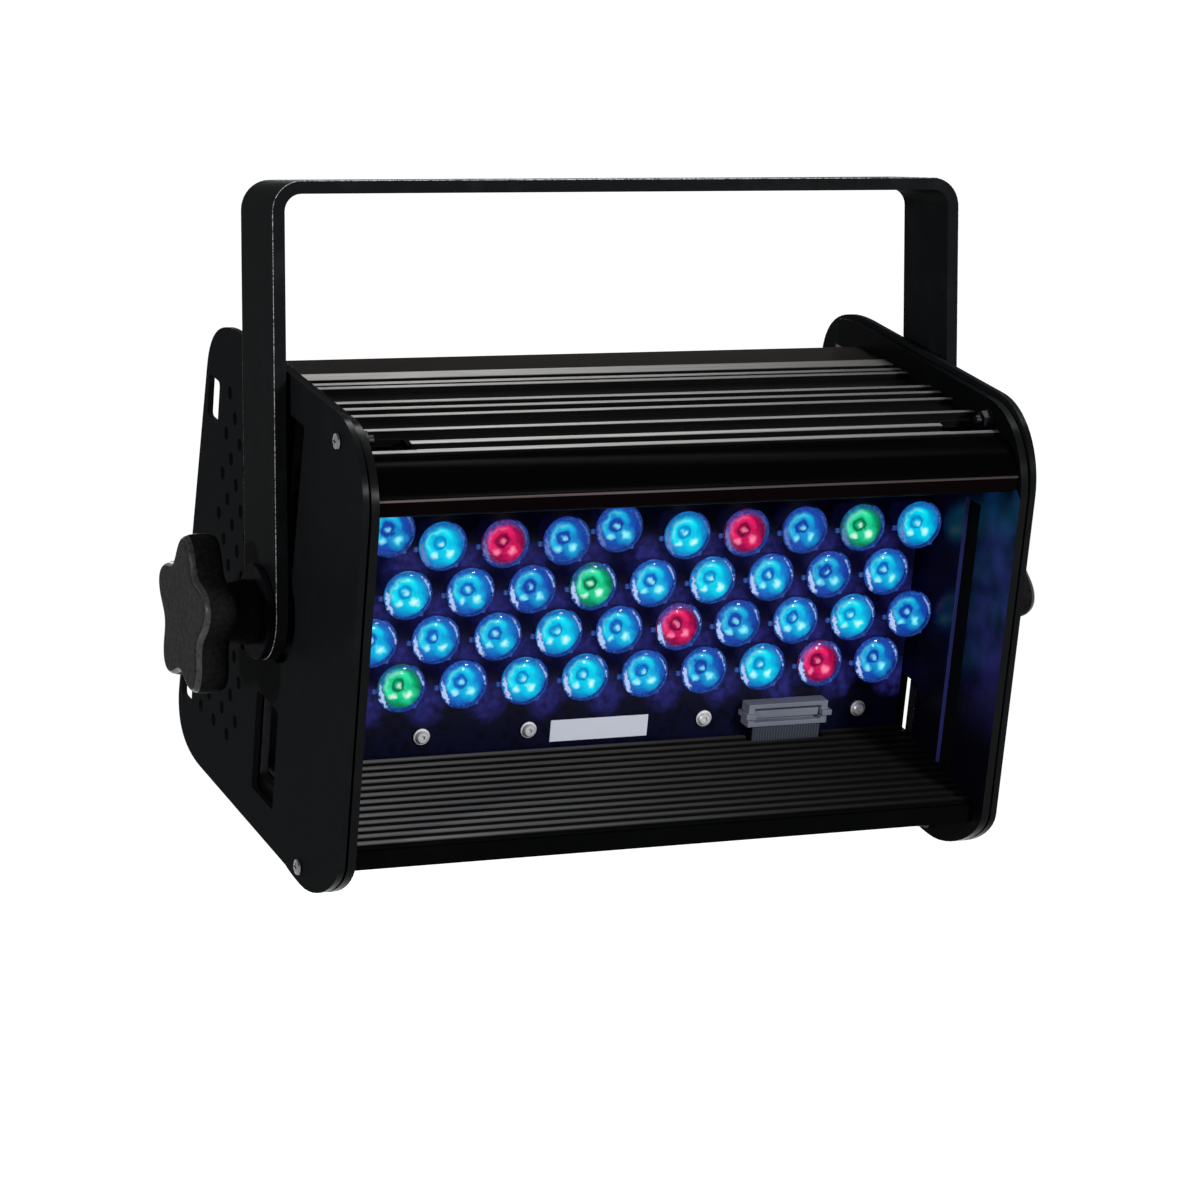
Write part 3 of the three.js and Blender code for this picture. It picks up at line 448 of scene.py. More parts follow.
def plated(name, colour, dull, rough, size=5, share=1.0):
    """Plated or milled metal with dulled patches."""
    metal = Finish(name, Metallic=share)
    patches = metal.noise(size, detail=4)
    lines = metal.noise(0.3, detail=2, where=metal.stretched(1, 0.1, 1))
    return metal.finished(
        metal.mixed(patches * 0.6 + lines * 0.4, dull, colour),
        patches * 0.2 + lines * 0.1 + rough, lines, 0.01, 0.3)


def painted_edge_highlight():
    """A grainy painted highlight along the yoke's outer edges, lightest on the grain's tops."""
    edge = Finish("yoke_edge_painted_highlight", Specular_IOR_Level=0.25)
    grain = edge.noise(0.7, detail=3)
    # The light grain tops are a painted highlight of the lamp on the edge
    highlight_share = grain.between(0.4, 0.6)
    return edge.finished(
        edge.mixed(highlight_share, shade(0.03), shade(0.62)),
        grain * 0.2 + 0.25, grain, 0.08, 0.5)


def knob_moulding(name, dark, light, rough, level):
    """Hard black plastic, spark-eroded all over, and handled smooth along its ridges."""
    plastic = Finish(name, Specular_IOR_Level=level)
    grain = plastic.noise(1.7, detail=4, rough=0.6)
    drift = plastic.noise(16)
    pits = grain.between(0.34, 0.66)
    return plastic.finished(
        plastic.mixed(pits * 0.8 + drift * 0.2, shade(dark), shade(light)),
        grain * 0.16 + rough, grain, 0.08, 0.6)


def hood_gloss():
    """Piano black, with a thin warm painted highlight along its lip's rolled edge that fades towards the right, and
    brown-black below that.
    """
    gloss = Finish("hood_gloss", Specular_IOR_Level=0.0015)
    marks = gloss.draw_marks()
    height = gloss.height_in_head()
    # A thin painted highlight along the lip's rolled edge
    line = height.ramp(HOOD_EDGE - 0.6, HOOD_EDGE - 0.3) * height.ramp(HOOD_EDGE + 0.5, HOOD_EDGE + 0.2)
    lip = height.ramp(HOOD_EDGE - 0.3, HOOD_EDGE - 0.7)
    x, _, _ = gloss.axes()
    # The painted highlight fades towards the right, as the light falls off
    highlight_falloff = x.ramp(150, -100) * 0.6 + 0.4
    colour = gloss.mixed(lip, shade(0.0009), (0.0026, 0.0014, 0.0016))
    return gloss.finished(
        gloss.mixed(line * marks * highlight_falloff, colour, (0.26, 0.21, 0.21)),
        marks * 0.12 + lip * 0.2 + 0.12, marks, 0.02, 0.3)


def lower_rib_anodising():
    """Black anodising whose rib tops carry a painted grey highlight, strongest at the left end and fading to the
    right as the light falls off.
    """
    skin = Finish("lower_hood_anodising", Specular_IOR_Level=0.01)
    marks = skin.draw_marks()
    x, _, _ = skin.axes()
    rear, up = LOWER_REAR
    fall = (up - LOWER_FRONT[1]) / (LOWER_FRONT[0] - rear)
    above = skin.height_in_head() + skin.forward_in_head() * fall - (up + rear * fall) * MM
    # Painted highlight on the rib tops, strongest at the left end and fading to the right
    near = x.ramp(140, -150)
    highlight_share = above.ramp(1.15, 1.5) * (near * near * 0.97 + 0.03)
    highlight_tops = skin.mixed(marks, shade(0.1, 0.02), shade(0.42, 0.02))
    return skin.finished(
        skin.mixed(highlight_share, shade(0.003), highlight_tops),
        marks * 0.15 + 0.28, marks, 0.02, 0.35)


def deck_anodising():
    """Black anodising, drawn along the row, with a painted highlight on the crests of the ribs that fades towards the
    right.
    """
    skin = Finish("deck_anodising", Specular_IOR_Level=0.008)
    marks = skin.draw_marks()
    x, _, _ = skin.axes()
    fall = skin.forward_in_head().ramp(DECK_SLOPE, DECK_FRONT) * (DECK_FALL * MM)
    # The crests of the ribs carry a painted highlight, fading towards the right
    crest = (skin.height_in_head() + fall).ramp(DECK_TOP + 1.95, DECK_TOP + 2.3)
    highlight_falloff = x.ramp(150, -80) * 0.82 + 0.18
    black = skin.mixed(marks, shade(0.0025), shade(0.006))
    # The painted highlight's colour
    crest_highlight = skin.mixed(marks, shade(0.16, 0.02), shade(0.75, 0.02))
    return skin.finished(
        skin.mixed(crest * highlight_falloff, black, crest_highlight),
        marks * 0.15 + crest * 0.1 + 0.22, marks, 0.02, 0.35)


def lit_wall():
    """The glossy inside of the end plates, with the violet light of the optics painted on it as emission."""
    wall = Finish("inner_wall_gloss_and_painted_light", Emission_Strength=1.0, Specular_IOR_Level=0.22, Specular_Tint=(0.6, 0.5, 1))
    grain = wall.noise(0.55)
    height = wall.height_in_head()
    blotch = wall.noise(17).between(0.3, 0.68)
    forward = wall.forward_in_head()
    outer = forward.ramp(56, 68) * 0.93 + forward.ramp(10, 20) * 0.07
    # Painted violet and teal light from the optics, given as emission
    share = height.ramp(-46, 8) * height.ramp(72, 66) * blotch * outer
    teal = height.ramp(34, 50)
    glow = wall.mixed(teal, (0.012, 0.01, 0.085), (0.002, 0.018, 0.065))
    wall.set(Emission_Color=wall.mixed(share, (0.0, 0.0, 0.001), glow))
    wall.set(Base_Color=wall.mixed(grain, shade(0.001), shade(0.003)), Roughness=grain * 0.1 + 0.24)
    return wall.material


yoke_coat = powder_coat("yoke_coat", 0.006, 0.017, 0.34, 0.09, 0.002)
# The yoke's outer edges carry a painted highlight
yoke_edge_highlight = painted_edge_highlight()
panel_coat = powder_coat("panel_coat", 0.0095, 0.015, 0.36, 0.03)
edge_coat = powder_coat("front_edge_coat", 0.004, 0.008, 0.14, 0.01, 0.03)
end_coat = powder_coat("end_plate_coat", 0.003, 0.006, 0.28, 0.03, 0.003)
wall_gloss = lit_wall()
# Blue painted onto the groove's edge as the optics' light falling on it
groove_edge_painted_blue_light = moulding("groove_edge_painted_blue_light", (0.07, 0.09, 0.42), (0.04, 0.05, 0.3), 0.3)
lip_coat = powder_coat("lower_lip_coat", 0.0015, 0.003, 0.2, 0.015, 0.004)
hood_skin = hood_gloss()
deck_skin = deck_anodising()
lower_rib_skin = lower_rib_anodising()
rib_skin = drawn_metal("rib_anodising", 0.002, 0.006, 0.26, 0.02)
cover_skin = drawn_metal("rear_cover_anodising", 0.005, 0.014, 0.34, 0.006, warmth=0.15)
knob_face = knob_moulding("knob_face_plastic", 0.008, 0.042, 0.34, 0.006)
# The knob's sides and hub: the face's plastic painted darker as shade
knob_flank_shaded = knob_moulding("knob_flank_painted_shade", 0.005, 0.013, 0.3, 0.004)
knob_ridge = knob_moulding("knob_ridge_plastic", 0.009, 0.045, 0.26, 0.24)
socket_plastic = moulding("socket_plastic", (0.014, 0.014, 0.015), (0.006, 0.006, 0.007), 0.32, level=0.2)
spacer_plastic = moulding("spacer_plastic", (0.009, 0.0095, 0.012), (0.004, 0.004, 0.006), 0.3, level=0.003)
# Grey nylon, darkened further as painted shade for the shadow the plug sits in
connector_nylon_painted_shade = moulding("connector_nylon_painted_shade", (0.2, 0.22, 0.27), (0.1, 0.11, 0.15), 0.4)
button_plastic = moulding("button_plastic", (0.02, 0.02, 0.022), (0.01, 0.01, 0.012), 0.3)
steel_plate = plated("zinc_plate", (0.3, 0.3, 0.32), (0.03, 0.03, 0.034), 0.12, 1.4)
bright_zinc = plated("bright_zinc", (0.85, 0.85, 0.87), (0.4, 0.4, 0.42), 0.3, 2, 0.5)
# Dark steel for the studs and nuts, and painted shade on the screw shanks
dark_steel = plated("dark_steel_and_painted_shade", (0.03, 0.03, 0.034), (0.01, 0.01, 0.012), 0.3)
# Aluminium darkened to near black as painted shade for the parts inside the head
milled_metal_painted_dark = plated("milled_aluminium_painted_dark", (0.1, 0.1, 0.11), (0.05, 0.05, 0.055), 0.35)
bare_edge = plated("bare_cut_edge", (0.085, 0.075, 0.085), (0.03, 0.028, 0.032), 0.4)
driver_mask = moulding("driver_board_mask", (0.01, 0.06, 0.03), (0.006, 0.04, 0.02), 0.3, 1.5)
display_glass = moulding("display_window", (0.006, 0.016, 0.013), (0.004, 0.01, 0.009), 0.05, 6, 0.0)
label_paper = moulding("label_film", (0.78, 0.81, 0.9), (0.7, 0.73, 0.83), 0.4, 0.4, 0.01, 0.2)


def row_shift(row):
    """How far a row of optics is shifted along the board."""
    return PITCH / 4 if row % 2 == 0 else -PITCH / 4


def board_mask():
    """Near-black solder mask, with a blurred patch of violet light painted beside each optic as emission."""
    mask = Finish("led_board_mask", Specular_IOR_Level=0.08, Emission_Strength=1.0)
    x, _, _ = mask.axes()
    height = mask.height_in_head()
    sway = (mask.noise(6) - 0.5) * (5 * MM)
    beside, below, reach = -8, 15, 16

    def spill(row):
        """The painted patches of light beside this row of optics and the next but one."""
        first, second = ROWS[row] - below, ROWS[row + 2] - below
        aside = mask.wrapped(x + sway, PITCH / 2 + row_shift(row) + beside, PITCH)
        above = mask.wrapped(height - sway, first, first - second)
        near = (aside * aside + above * above).root().ramp(10.5, 4)
        top, foot = first + reach, second - reach
        return near * height.ramp(top, top - 3) * height.ramp(foot, foot + 3)

    lit = spill(0) + spill(1)
    band = height.ramp(33, 22) * height.ramp(-44, -34)
    drift = mask.noise(9, detail=3)
    runs = mask.cells(4.2)
    copper = (runs > 0.42) * 0.5 + drift * 0.5
    board_colour = mask.mixed(copper, (0.0012, 0.0014, 0.005), (0.003, 0.0035, 0.018))
    speckle = mask.noise(3.2, detail=3).between(0.3, 0.7)
    # A painted blue haze of light across the rows of optics
    haze = mask.mixed(band * drift, (0.0, 0.0, 0.0008), (0.0035, 0.0028, 0.024))
    mask.set(Emission_Color=mask.mixed(lit * (speckle * 0.7 + 0.2), haze, (0.022, 0.022, 0.18)))
    return mask.finished(board_colour, drift * 0.2 + 0.25, runs, 0.04, 0.3)


def ribbon_finish():
    """Grey ribbon cable: round conductors side by side."""
    ribbon = Finish("ribbon_cable_finish")
    x, _, _ = ribbon.axes()
    wire_pitch = 1.27 * MM
    ridge = (x * (2 * math.pi / wire_pitch)).sine() * 0.5 + 0.5
    return ribbon.finished(ribbon.mixed(ridge, (0.012, 0.016, 0.025), (0.04, 0.05, 0.07)), 0.5, ridge, 0.3, 0.6)


led_mask = board_mask()
ribbon_skin = ribbon_finish()

# The colours of the light on an optic's inner lens: outer zone, field, ring and hot spot
LIGHTS = {
    "blue": ((0.006, 0.035, 0.3), (0.006, 0.1, 0.48), (0.005, 0.42, 0.74), (0.28, 0.9, 1.0)),
    "sky": ((0.004, 0.08, 0.42), (0.003, 0.25, 0.66), (0.003, 0.6, 0.84), (0.42, 0.96, 1.0)),
    "cyan": ((0.0, 0.2, 0.52), (0.0, 0.46, 0.78), (0.0, 0.74, 0.9), (0.55, 1.0, 1.0)),
    "green": ((0.0, 0.1, 0.04), (0.0, 0.42, 0.17), (0.02, 0.76, 0.36), (0.75, 1.0, 0.85)),
    "red": ((0.1, 0.0, 0.04), (0.4, 0.0, 0.06), (0.78, 0.01, 0.12), (1.0, 0.26, 0.42)),
}


def lit_lens(name, zone, field, ring, hot):
    """The inner lens as the light leaves it: ring, eye and hot spot, placed in shares of its radius."""
    lens = Finish(name, Emission_Strength=1.0, IOR=1.49, Specular_IOR_Level=0.05)
    x, y = lens.across_disc()
    sway = (lens.noise(3.2) - 0.5) * 0.4
    x, y = x + sway, y - sway * 0.7

    def gap(across, up):
        return ((x - across) * (x - across) + (y - up) * (y - up)).root()

    from_ring = (gap(-0.1, 0.1) - 0.5).size().between(0.2, 0.08)
    open_side = (y - x).between(-0.6, 0.1)
    eye = (gap(-0.06, 0.06) - 0.24).size().between(0.1, 0.02)
    spark = gap(-0.02, 0.04).between(0.15, 0.05)
    below = gap(0.42, -0.42).between(0.5, 0.16)
    hottest = gap(0.4, -0.38).between(0.24, 0.08)
    glint = gap(-0.3, -0.42).between(0.2, 0.06)
    crest = (gap(-0.1, 0.1) - 0.52).size().between(0.07, 0.02) * (y - x).between(0.2, 0.7)
    edge = gap(0, 0).between(0.62, 0.94)
    moulded = (gap(0, 0) * 26).sine() * 0.5 + 0.5

    shown = lens.mixed(edge, field, zone)
    shown = lens.mixed(moulded * 0.16, shown, zone)
    shown = lens.mixed(from_ring * open_side, shown, ring)
    shown = lens.mixed(below * 0.9, shown, ring)
    shown = lens.mixed(eye * 0.85, shown, zone)
    shown = lens.mixed(hottest + spark * 0.7 + glint * 0.8 + crest * 0.3, shown, hot)
    lens.set(Emission_Color=shown, Base_Color=(0.004, 0.004, 0.01), Roughness=edge * 0.1 + 0.1)
    return lens.material


def clear_dome(name, painted_gleam_share):
    """The clear domed front: deep blue towards its rim, with painted highlight crescents whose strength the second
    argument sets.
    """
    front = Finish(name, IOR=1.49, Specular_IOR_Level=0.12, Emission_Strength=1.0)
    x, y = front.across_disc()
    sway = (front.noise(1.6, detail=3) - 0.5) * 0.34
    radius = (x * x + y * y).root()
    broken = radius + sway
    # Painted highlight crescents at the lower left and upper right of the rim
    left = (broken - 0.89).size().between(0.12, 0.06) * (x * -0.94 - y * 0.34 + sway).between(0.76, 0.84)
    right = (broken - 0.87).size().between(0.08, 0.01) * (x * 0.88 + y * 0.47 - sway).between(0.78, 0.84)
    painted_gleams = (left * 0.85 + right * 0.65) * painted_gleam_share
    rim = radius.between(0.7, 0.92)
    speckle = front.noise(1.1).between(0.5, 0.7)
    front.set(Base_Color=(0.004, 0.01, 0.05))
    glow = front.mixed(speckle, (0.012, 0.05, 0.3), (0.03, 0.16, 0.6))
    front.set(Emission_Color=front.mixed(painted_gleams, glow, (0.5, 0.66, 0.95)))
    front.set(Alpha=rim * 0.62 + painted_gleams)
    front.set(Roughness=rim * 0.05 + 0.04)
    return front.material


def clear_plastic(name, flow_size, alpha, level, body, glow):
    """Clear moulding with flow marks: body is its own dark and light colour, glow the light in it."""
    part = Finish(name, IOR=1.49, Alpha=alpha, Specular_IOR_Level=level, Emission_Strength=1.0)
    flow = part.noise(flow_size)
    part.set(Base_Color=part.mixed(flow, *body), Emission_Color=part.mixed(flow, *glow), Roughness=flow * 0.1 + 0.08)
    return part.material


skirt_finish = clear_plastic(
    "optic_skirt", 4, 0.35, 0.2,
    ((0.002, 0.003, 0.01), (0.006, 0.008, 0.03)), ((0.0, 0.0, 0.004), (0.003, 0.003, 0.03)))
inside_finish = clear_plastic(
    "optic_inner_face", 4, 0.02, 0.05,
    ((0.002, 0.004, 0.02), (0.004, 0.008, 0.04)), (shade(0), shade(0)))
tab_finish = clear_plastic(
    "optic_tab", 2, 0.6, 0.3,
    ((0.01, 0.015, 0.05), (0.03, 0.05, 0.14)), ((0.004, 0.012, 0.1), (0.03, 0.1, 0.4)))
dome_finish = clear_dome("optic_dome", 1.0)
# The top row's copy: its painted highlights dimmed as painted shade under the hood
shaded_dome_finish = clear_dome("optic_dome_painted_hood_shade", 0.25)
lens_finishes = {hue: lit_lens(f"optic_lens_{hue}", *colours) for hue, colours in LIGHTS.items()}


# The yoke: one flat bar, bent twice, its ends rounded about the pivots

def yoke_bar():
    outer, inner = YOKE_WIDTH / 2, YOKE_WIDTH / 2 - BAR_THICKNESS
    foot, half = -PIVOT_DROP - BAR_WIDTH / 2, BAR_WIDTH / 2
    corners = [(-outer, foot), (-outer, 0), (outer, 0), (outer, foot),
               (inner, foot), (inner, -BAR_THICKNESS), (-inner, -BAR_THICKNESS), (-inner, foot)]
    bar = drawn([Vector((x, -half, z)) * MM for x, z in corners], Vector((0, BAR_WIDTH, 0)) * MM)
    rounded(bar, 1, [spot(x, 0, 0) for x in (-outer, outer)], BEND, 10)
    inside = [spot(x, 0, -BAR_THICKNESS) for x in (-inner, inner)]
    rounded(bar, 1, inside, BEND - BAR_THICKNESS, 8)
    ends = [Vector((0, y, foot)) * MM for y in (-half, half)]
    rounded(bar, 0, ends, half - 0.05, 14)
    cut(bar, rod(PIVOT_HOLE, PIVOT, "x", YOKE_WIDTH + 10, 32))
    cut(bar, rod(HANGING_HOLE, Vector((0, 0, 0)), "z", 30, 32))
    for x in (-SIDE_HOLE_OFFSET, SIDE_HOLE_OFFSET):
        cut(bar, rod(SIDE_HOLE, spot(x, 0, 0), "z", 30, 28))
    softened(bar, 1.9, 4)

    # The bevels of the outer edges, which carry the painted highlight
    def outer_edge(normal, middle):
        outward = normal.x * middle.x > 0.2 * abs(middle.x) or normal.z > 0.2 and middle.z > -20
        return int(0.1 < abs(normal.y) < 0.995 and outward)

    faced(bar, (yoke_coat, yoke_edge_highlight), outer_edge)
    seated(bar, "yoke_bar", None, "powder_coat", "yoke", body="yoke")


# Side panels and end plates

def eased(*pulls_and_steps):
    """Places along a curve through the first and last of some places, drawn towards the others."""
    *pulls, steps = pulls_and_steps
    order = len(pulls) - 1
    places = []
    for step in range(steps + 1):
        t = step / steps
        shares = [math.comb(order, i) * t ** i * (1 - t) ** (order - i) for i in range(order + 1)]
        places.append(tuple(sum(share * pull[axis] for share, pull in zip(shares, pulls)) for axis in (0, 1)))
    return places


def arc(centre, radius, start, end, steps):
    angles = [math.radians(start + (end - start) * step / steps) for step in range(steps + 1)]
    return [(centre[0] + radius * math.cos(a), centre[1] + radius * math.sin(a)) for a in angles]


def panel_outline(top):
    """A side panel seen from its side: sloping back, lobed foot, and round front corner."""
    lobe = BOTTOM * 1.012
    line = eased((-REAR_TOP * 0.6, top), (-REAR_TOP * 0.98, top), (-REAR_TOP, top * 0.75), 16)
    line += eased((-REAR_BOTTOM, -BOTTOM * 0.77), (-REAR_BOTTOM, -BOTTOM), (-REAR_BOTTOM * 0.71, -BOTTOM), 14)
    line += eased((FRONT * 0.31, -BOTTOM), (FRONT * 0.4, -lobe), (FRONT * 0.52, -lobe), 5)
    line += eased((FRONT * 0.52, -lobe), (FRONT * 0.74, -lobe), (FRONT, -BOTTOM * 0.86),
                  (FRONT, -BOTTOM * 0.76), 12)[1:]
    return line + arc((FRONT - FRONT_RADIUS, top - FRONT_RADIUS), FRONT_RADIUS, 0, 90, 16)


def plate_of(line, side, inner, outer):
    near, far = sided(side, inner, outer)
    return drawn([spot(near, forward, up) for forward, up in line], Vector((far - near, 0, 0)) * MM)


def through(side, forward, up):
    """A cutter through the side panel and the end plate."""
    return slab(sided(side, WALL - 4, PANEL_FACE + 4), forward, up)


def vent_places():
    """Staggered rows of three vents, with one alone at the top."""
    places = []
    for row in range(VENT_ROWS):
        up = VENT_TOP - row * VENT_ROW_PITCH
        rear = VENT_REAR - row * VENT_LEAN + VENT_PITCH / 2 * (row % 2)
        places += [(rear + column * VENT_PITCH, up) for column in range(3 if row else 1)]
    return places


def pivot_cutter(side, inset, low):
    """The tapered slot above the pivot, all round smaller by inset, from low upwards."""
    half, top = PIVOT_SLOT_WIDTH / 2 - inset, PIVOT_SLOT_TOP - inset
    line = [(-half, low), (half - 2, low), (half + 2, top), (-half, top)]
    return plate_of(line, side, WALL - 4, PANEL_FACE + 4)


def round_cornered(cutter, window, radius, segments):
    corners = [spot(0, forward, up) for forward in window[0] for up in window[1]]
    return rounded(cutter, 0, corners, radius, segments)


def side_skin(side, word):
    skin = plate_of(panel_outline(TOP), side, PANEL_FACE - PANEL_THICKNESS, PANEL_FACE)
    x = side * (PANEL_FACE - PANEL_THICKNESS / 2)
    vents = [spot(x, *place) for place in vent_places()]
    cut(skin, repeated(rod(VENT_RADIUS, vents[0], "x", 8, 20), vents[0], vents[1:]))
    for rear, top in HANDLE_SLOTS:
        slot = ((rear, rear + HANDLE_WIDTH), (top - HANDLE_HEIGHT, top))
        cut(skin, round_cornered(through(side, *slot), slot, 2.2, 5))
    cut(skin, rod(PIVOT_OPENING, spot(x, 0, 0), "x", 8, 64))
    cut(skin, pivot_cutter(side, 0, 0))
    cut(skin, round_cornered(through(side, *PANEL_WINDOW), PANEL_WINDOW, 1.6, 4))
    for place in PANEL_SCREWS.values():
        cut(skin, rod(SCREW_HOLE, spot(x, *place), "x", 8, 20))
    softened(skin, 0.4, 3, 50)
    faced(skin, (panel_coat, edge_coat), lambda normal, middle: int(abs(normal.x) < 0.9 and middle.y < -20))
    seated(skin, f"side_skin_{word}", None, "panel_sheet", f"side_panel_{word}")


# The inside of the end plates is glossy, with painted violet light, below the deck and the hood and above the lower
# hood:
# a place on each of those borders, and the way out of the lined part
LINING = (((0, DECK_TOP - DECK_SHEET), (0, 1)), ((80, 68), (16, 18)), ((9.2, -65), (-9, -69)))


def end_outline():
    """The side panel's outline, lower at the top and cut off straight at the rear."""
    line = [(max(forward, END_REAR), up) for forward, up in panel_outline(END_TOP)]
    return [place for before, place, after in zip(line[-1:] + line, line, line[1:] + line[:1])
            if not before[0] == place[0] == after[0] == END_REAR]


def end_wall(side, word):
    wall = plate_of(end_outline(), side, WALL, END_FACE)
    cut(wall, pivot_cutter(side, 4, 20))
    cut(wall, through(side, *WALL_WINDOW))
    cut(wall, through(side, *SIGHT_SLOT))
    cut(wall, slab(sided(side, WALL - 2, WALL + GROOVE_DEPTH), *GROOVE))
    cut(wall, rod(PIVOT_HOLE, spot(side * END_FACE, 0, 0), "x", 20, 28))
    for place in PANEL_SCREWS.values():
        cut(wall, rod(SCREW_HOLE, spot(side * END_FACE, *place), "x", 12, 20))
    softened(wall, 0.4, 3, 50)
    for (forward, up), (ahead, above) in LINING:
        editing(wall)
        select_whole()
        bpy.ops.mesh.bisect(plane_co=spot(0, forward, up), plane_no=spot(0, ahead, above).normalized())
        done()

    def lined(middle):
        return all((-middle.y - forward) * ahead + (middle.z - up) * above < 0
                   for (forward, up), (ahead, above) in LINING)

    def by_window(middle):
        return all(low - 0.5 < value < high + 0.5 for value, (low, high) in zip((-middle.y, middle.z), WALL_WINDOW))

    def surface(normal, middle):
        if abs(normal.x) < 0.5 and by_window(middle):
            return 1
        # The groove's forward-facing edge takes the painted blue light
        if normal.y < -0.9 and abs(middle.y + GROOVE[0][0]) < 0.2:
            return 3
        if side * normal.x < -0.9 and lined(middle) and side * middle.x < WALL + 1:
            return 2
        return 4 if abs(normal.x) < 0.9 and middle.y < -20 else 0

    faced(wall, (end_coat, bare_edge, wall_gloss, groove_edge_painted_blue_light, edge_coat), surface)
    seated(wall, f"end_wall_{word}", None, "dark_sheet", f"end_plate_{word}")


# The deck, the hoods and the baffles run from end plate to end plate

RUN = Vector((2 * SPAN, 0, 0)) * MM


def along(line):
    return drawn([spot(-SPAN, forward, up) for forward, up in line], RUN)


# The deck's ribs: where each stands, as a share of the deck's run, and its width
DECK_RIBS = [(0.045, 8.4)]
DECK_RIBS += [(share, 2.4) for share in (0.149, 0.202, 0.409, 0.495, 0.591, 0.779, 0.904, 0.984)]


def ribbed_deck():
    underside = DECK_TOP - DECK_SHEET

    def level(forward):
        return DECK_TOP - DECK_FALL * max(0, (forward - DECK_SLOPE) / (DECK_FRONT - DECK_SLOPE))

    line = [(DECK_REAR, DECK_TOP)]
    for share, width in DECK_RIBS:
        centre = DECK_REAR + share * DECK_RUN
        start, end = centre - width / 2, min(centre + width / 2, DECK_FRONT)
        line += [(start, level(start)), (start, level(start) + RIB_HEIGHT),
                 (end, level(end) + RIB_HEIGHT), (end, level(end))]
    front_level = level(DECK_FRONT)
    line += [(DECK_FRONT, front_level), (DECK_FRONT, front_level - DECK_SHEET),
             (DECK_SLOPE, underside), (DECK_REAR, underside)]
    distinct = [place for i, place in enumerate(line) if i == 0 or math.dist(place, line[i - 1]) > 0.01]
    deck = along(distinct)
    for side, _ in SIDES:
        cut(deck, slab(sided(side, SPAN - DECK_NOTCH_DEPTH, SPAN + 2), *DECK_NOTCH))
    softened(deck, 0.8, 3, 40)
    seated(deck, "ribbed_deck", deck_skin, "deck_metal", "top_deck")


def curved_hood():
    rear, top = DECK_FRONT + CLEARANCE, DECK_TOP - DECK_FALL + 1.2
    crown, inner_front = rear + 0.62 * (HOOD_FRONT - rear), HOOD_FRONT - HOOD_SHEET
    line = eased((rear, top - HOOD_SHEET), (crown, top - HOOD_SHEET), (inner_front, HOOD_EDGE - HOOD_SHEET), 18)
    line += [(inner_front, HOOD_LIP), (HOOD_FRONT, HOOD_LIP)]
    line += eased((HOOD_FRONT, HOOD_EDGE), (crown + HOOD_SHEET, top), (rear, top), 22)
    hood = softened(along(line), 0.3, 2, 40)
    seated(hood, "curved_hood", hood_skin, "black_gloss", "top_hood")


def ribs_along(start, end, inward, ribs=13, steps=8, height=1.5):
    """A row of half-round ribs from start to end, standing up where inward is 1 and down where -1."""
    line = []
    for rib in range(ribs):
        for step in range(steps):
            share = step / steps
            swell = height * math.sqrt(max(0, 1 - (2 * share - 1) ** 2))
            reach = (rib + share) / ribs
            line.append((start[0] + (end[0] - start[0]) * reach,
                         start[1] + (end[1] - start[1]) * reach + inward * swell))
    return [*line, end]


def ribbed_baffles():
    upper = ribs_along(UPPER_REAR, UPPER_FRONT, -1)
    upper += [(forward, up + BAFFLE_SHEET) for forward, up in (UPPER_FRONT, UPPER_REAR)]
    seated(along(upper), "ribbed_baffle", rib_skin, "ribbed_metal", "upper_baffle", smooth=45)
    front, top = LOWER_FRONT
    lower = ribs_along(LOWER_REAR, LOWER_FRONT, 1)
    lower += [(front + LOWER_LIP_SHEET, top), (front + LOWER_LIP_SHEET, top - LOWER_LIP), (front, top - LOWER_LIP)]
    lower += [(forward, up - BAFFLE_SHEET) for forward, up in (LOWER_FRONT, LOWER_REAR)]
    lower = along(lower)
    cut(lower, slab((PLUG_X - PLUG_NOTCH_HALF, PLUG_X + PLUG_NOTCH_HALF), *PLUG_NOTCH))
    faced(lower, (lower_rib_skin, lip_coat),
          lambda normal, middle: int(normal.y < -0.8 and middle.y < -76 or middle.y < 0.1 - front))
    seated(lower, "ribbed_hood", None, "ribbed_metal", "lower_hood", smooth=45)


# The board and its optics

def led_plate():
    half = SPAN - CLEARANCE
    plate = slab((-half, half), (BOARD_FACE - BOARD_THICKNESS, BOARD_FACE), (BOARD_BOTTOM, BOARD_TOP))
    places = [spot(x, 7, BOARD_SCREW_UP) for x in BOARD_SCREWS]
    cut(plate, repeated(rod(BOARD_SCREW_HOLE, places[0], "y", 6, 16), places[0], places[1:]))
    softened(plate, 0.15, 1, 50)
    seated(plate, "led_plate", led_mask, "board", "led_board")
    label = slab(LABEL_ACROSS, (BOARD_FACE + 0.02, BOARD_FACE + 0.25), LABEL_UP)
    softened(label, 0.1, 1)
    seated(label, "bare_label", label_paper, "pale_nylon")


